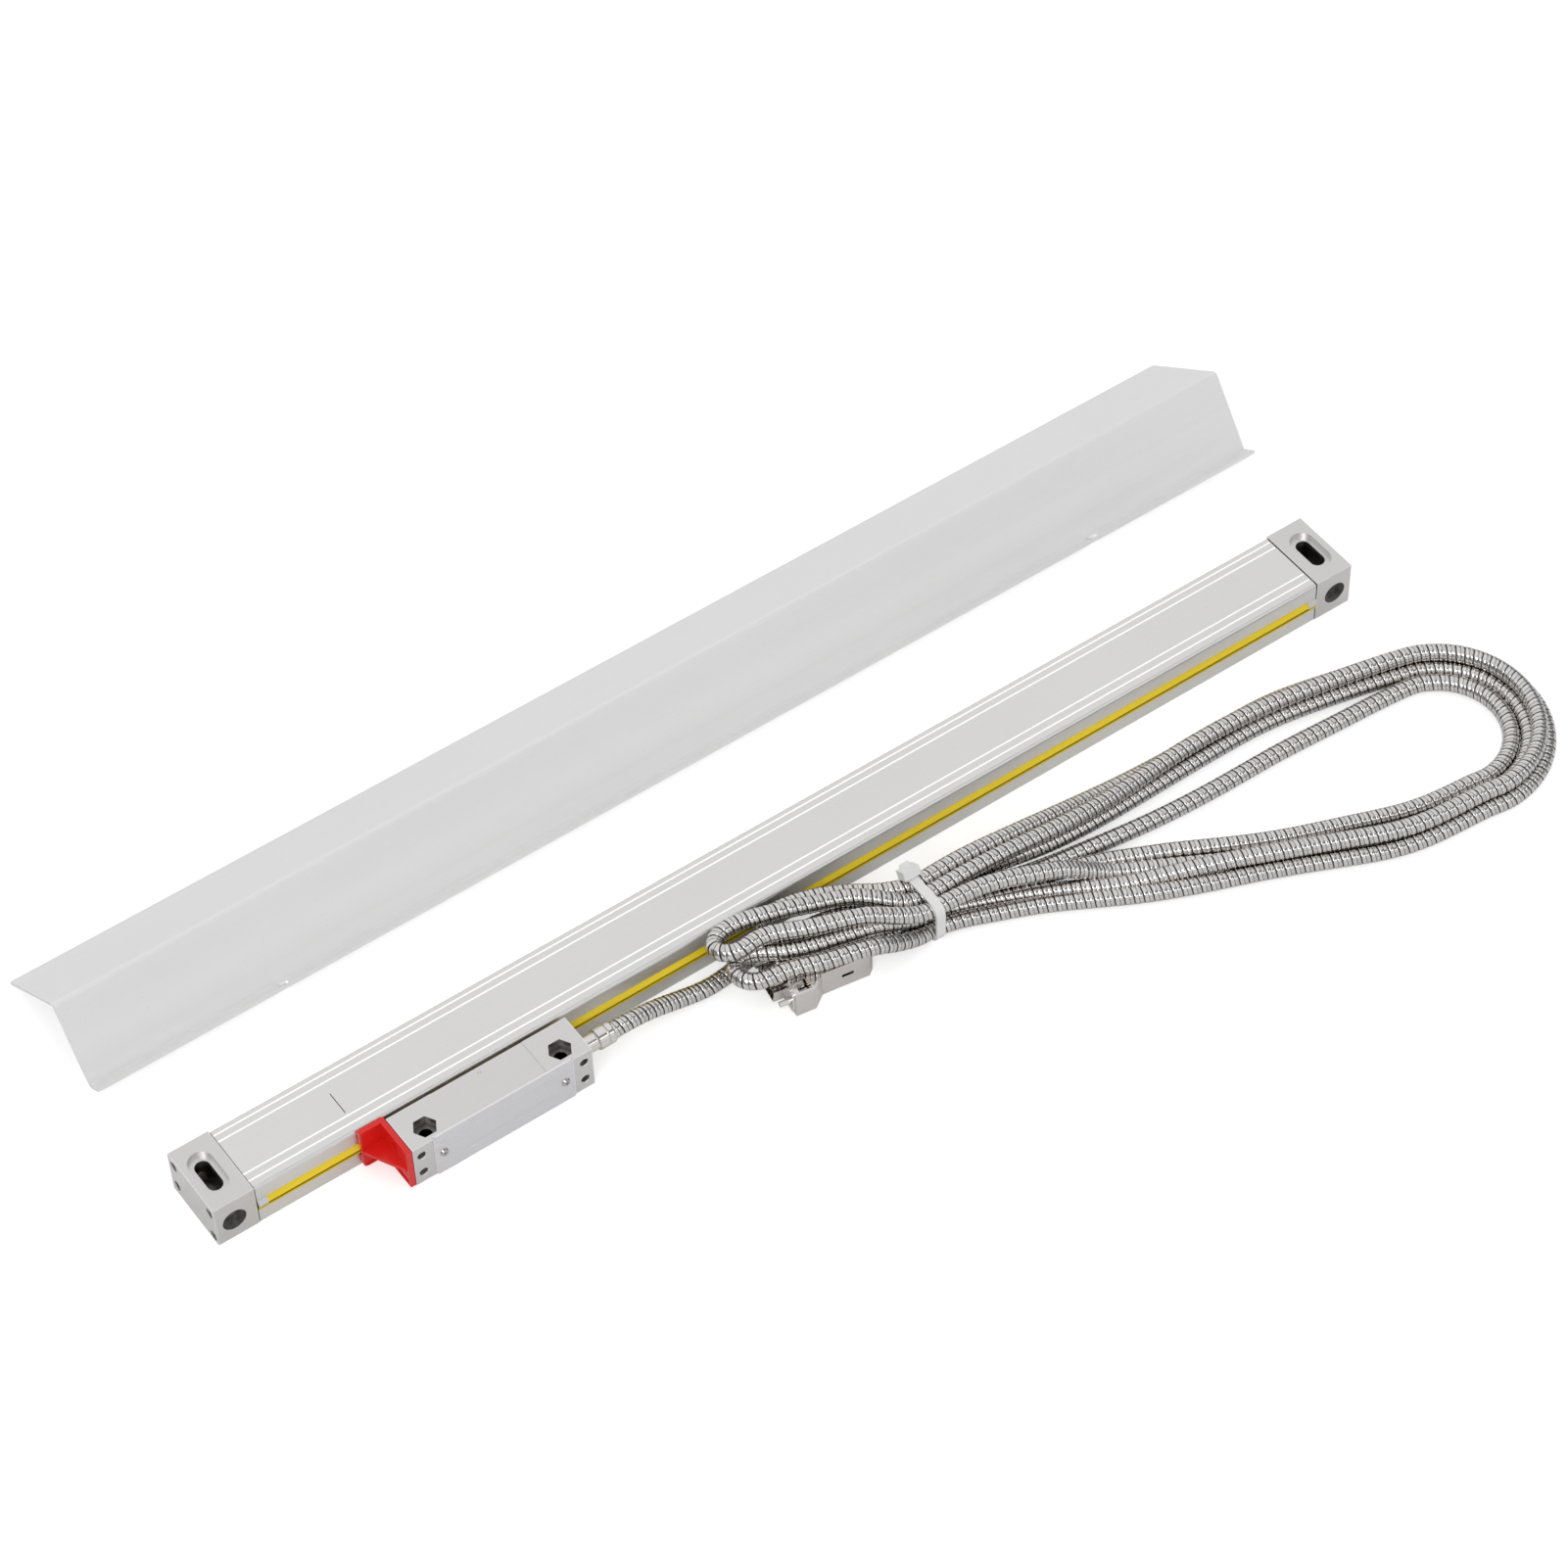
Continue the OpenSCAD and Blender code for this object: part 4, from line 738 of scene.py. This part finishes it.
# Vertex (row, side) lies at arc length pitch * (row's turn + side / sides) and at the row's radius,
# so the rows run on as one helix; the last side of a row joins the first side one turn later
def makeHose():
    step = hose["step"]
    line, length = splineThrough(hoseRoute(), step)
    tangent, side, other = carriedFrames(line)
    shares = np.array([p[0] for p in hose["profile"]])
    radii = np.array([p[1] for p in hose["profile"]]) * hose["diameter"] / 2
    rowsPerTurn = len(shares)
    turns = int(length / hose["pitch"]) + 2
    row = np.arange(-rowsPerTurn, turns * rowsPerTurn)
    rowTurn = np.floor_divide(row, rowsPerTurn) + shares[row % rowsPerTurn]
    rowRadius = radii[row % rowsPerTurn]
    sides = hose["sides"]
    column = np.arange(sides)
    along = hose["pitch"] * (rowTurn[:, None] + column[None, :] / sides)
    held = np.clip(along, 0, length - step)
    at = held / step
    base = np.clip(at.astype(int), 0, len(line) - 2)
    part = (at - base)[..., None]
    def between(values):
        return values[base] * (1 - part) + values[base + 1] * part
    angle = 2 * math.pi * column / sides
    out = between(side) * np.cos(angle)[None, :, None] + between(other) * np.sin(angle)[None, :, None]
    out /= np.linalg.norm(out, axis=2)[..., None]
    radius = np.repeat(rowRadius[:, None], sides, axis=1)
    radius = np.where((along < 0) | (along > length - step), radii.max(), radius)
    vertices = (between(line) + out * radius[..., None]).reshape(-1, 3)
    # each face takes two neighbours in a row and the two above them in the next row
    rows = len(row)
    first = np.arange(rows - rowsPerTurn - 1)[:, None]
    here = first * sides + column[None, :]
    nextColumn = (column + 1) % sides
    jump = np.where(column + 1 == sides, rowsPerTurn, 0)
    there = (first + jump[None, :]) * sides + nextColumn[None, :]
    quads = np.stack([here, there, there + sides, here + sides], axis=-1).reshape(-1, 4)
    ringU = np.repeat(rowTurn[:-rowsPerTurn - 1][:, None], sides, axis=1)
    nextU = np.repeat(rowTurn[1:-rowsPerTurn][:, None], sides, axis=1)
    v0 = np.repeat((column / sides)[None, :], len(first), axis=0)
    v1 = v0 + 1 / sides
    uv = np.stack([np.stack([ringU, v0], -1), np.stack([ringU, v1], -1),
                   np.stack([nextU, v1], -1), np.stack([nextU, v0], -1)], axis=2).reshape(-1, 4, 2)
    flat = along.reshape(-1)[quads]
    inside = ~((flat <= 0).all(1) | (flat >= length - step).all(1))
    quads, uv = quads[inside], uv[inside]
    used = np.unique(quads)
    renumber = np.full(len(vertices), -1)
    renumber[used] = np.arange(len(used))
    mesh = bpy.data.meshes.new("hose")
    mesh.from_pydata(vertices[used].tolist(), [], renumber[quads].tolist())
    layer = mesh.uv_layers.new(name="winding")
    layer.data.foreach_set("uv", uv.reshape(-1).astype(np.float32))
    shape = bmesh.new()
    shape.from_mesh(mesh)
    bmesh.ops.remove_doubles(shape, verts=shape.verts, dist=hose["joinWithin"])
    openEdges = [e for e in shape.edges if e.is_boundary]
    bmesh.ops.holes_fill(shape, edges=openEdges, sides=0)
    for face in shape.faces:
        face.smooth = True
    shape.to_mesh(mesh)
    shape.free()
    piece = bpy.data.objects.new("armoured_hose", mesh)
    scene.collection.objects.link(piece)
    print("hose: %.3f m, %d faces" % (length, len(mesh.polygons)))
    return piece, line, length


# Polished strip coloured by fract(u), u being the turn count: the hose's tones as a ramp over it, with
# painted shade in the gap, on the fold line and on the second band
def hoseFinish():
    material, tree, output = newTree("hoseSteel")
    shader = tree.nodes.new("ShaderNodeBsdfPrincipled")
    shader.inputs["Metallic"].default_value = 1.0
    place = tree.nodes.new("ShaderNodeUVMap")
    place.uv_map = "winding"
    split = tree.nodes.new("ShaderNodeSeparateXYZ")
    tree.links.new(place.outputs[0], split.inputs[0])
    share = addMath(tree, "FRACT", split.outputs["X"])
    ramp = tree.nodes.new("ShaderNodeValToRGB")
    points = ramp.color_ramp.elements
    points[0].position, points[1].position = hose["paintedShadeTones"][0][0], hose["paintedShadeTones"][-1][0]
    for position, value in hose["paintedShadeTones"][1:-1]:
        points.new(position)
    for point, (position, value) in zip(points, hose["paintedShadeTones"]):
        point.color = (value, value, value, 1)
    tree.links.new(share, ramp.inputs["Fac"])
    grain = useGroup(tree, surfaceGrain, Stretch=hose["grainStretch"], Detail=hose["octaves"])
    tone = addMath(tree, "MULTIPLY", grain.outputs["Grain"], hose["grainTone"])
    fine = addMath(tree, "ADD", tone, 1.0)
    # painted shade: the ramp darkens the gap, the fold line and the second band
    colour = mixColour(tree, ramp.outputs["Color"], hose["gapShadeColour"], hose["colour"])
    tree.links.new(shade(tree, colour, fine), shader.inputs["Base Color"])
    gap = addMath(tree, "SUBTRACT", 1.0, ramp.outputs["Color"])
    dull = addMath(tree, "MULTIPLY", gap, hose["gapRough"])
    uneven = addMath(tree, "MULTIPLY", grain.outputs["Grain"], hose["grainRough"])
    rough = addMath(tree, "ADD", uneven, hose["rough"])
    tree.links.new(addMath(tree, "ADD", rough, dull), shader.inputs["Roughness"])
    tree.links.new(shader.outputs[0], output.inputs["Surface"])
    return material


hosePiece, hoseLine, hoseLength = makeHose()
hosePiece.data.materials.append(hoseFinish())
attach(hosePiece, "reading_head")
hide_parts("cable_lead", "cable_tail", "cable_loops", "cable_folds")


# Which finish each CAD piece gets; those in the first table also show worn edges with a painted highlight,
# and painted shade in their holes
wearAndHighlightBoxes = {"left_end_block": "blockMilled", "right_end_block": "blockMilled", "head_body": "headMilled",
             "front_plate": "plateBrushed"}
metalNodes = {
    "housing": "housingAnodised", "left_slot_plug": "blockMilled", "right_slot_plug": "blockMilled",
    "left_end_screws": "steelBlack", "right_end_screws": "steelBlack", "plate_screws": "steelBright",
    "reader_arm": "steelGround", "arm_screws": "steelBlack", "carriage": "carriageBlack",
    "roller_pins": "steelBright", "face_roller_left": "steelBright", "face_roller_right": "steelBright",
    "edge_roller_left": "steelBright", "edge_roller_right": "steelBright", "cable_ferrule": "nickelBright",
    "plug_shell": "nickelBright", "plug_pins": "pinGold", "hood_cover": "hoodNickel",
    "hood_base": "hoodNickel", "hood_screws": "steelBright",
    "thumb_screw_front": "nickelBright", "thumb_screw_back": "nickelBright",
    "plug_bushing": "nickelBright", "splash_guard": "guardSheet",
}
softNodes = {
    "left_gasket": "gasketRubber", "right_gasket": "gasketRubber", "upper_lip": "lipYellow",
    "lower_lip": "lipYellow", "glass_bond": "bondSealant", "head_board": "boardGreen",
    "sensor_board": "boardGreen", "lamp": "lampClear", "coupling_wire": "wireTin",
    "transport_bracket": "bracketRed", "cable_tie": "nylonNatural", "plug_insulator": "insulatorBlack",
}


# Gives a CAD piece its only material
def paint(node, material):
    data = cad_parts[node].data
    data.materials.clear()
    data.materials.append(material)


made = {name: metalFinish(name) for name in sorted(set(metalNodes.values()))}
made.update({name: softFinish(name) for name in sorted(set(softNodes.values()))})
for node, name in wearAndHighlightBoxes.items():
    paint(node, metalFinish(name, node))
for node, name in list(metalNodes.items()) + list(softNodes.items()):
    paint(node, made[name])
clearGlass = glassFinish()
paint("glass_scale", clearGlass)
paint("scanning_reticle", clearGlass)
paint("grating_track", trackFinish())
print("finishes set")
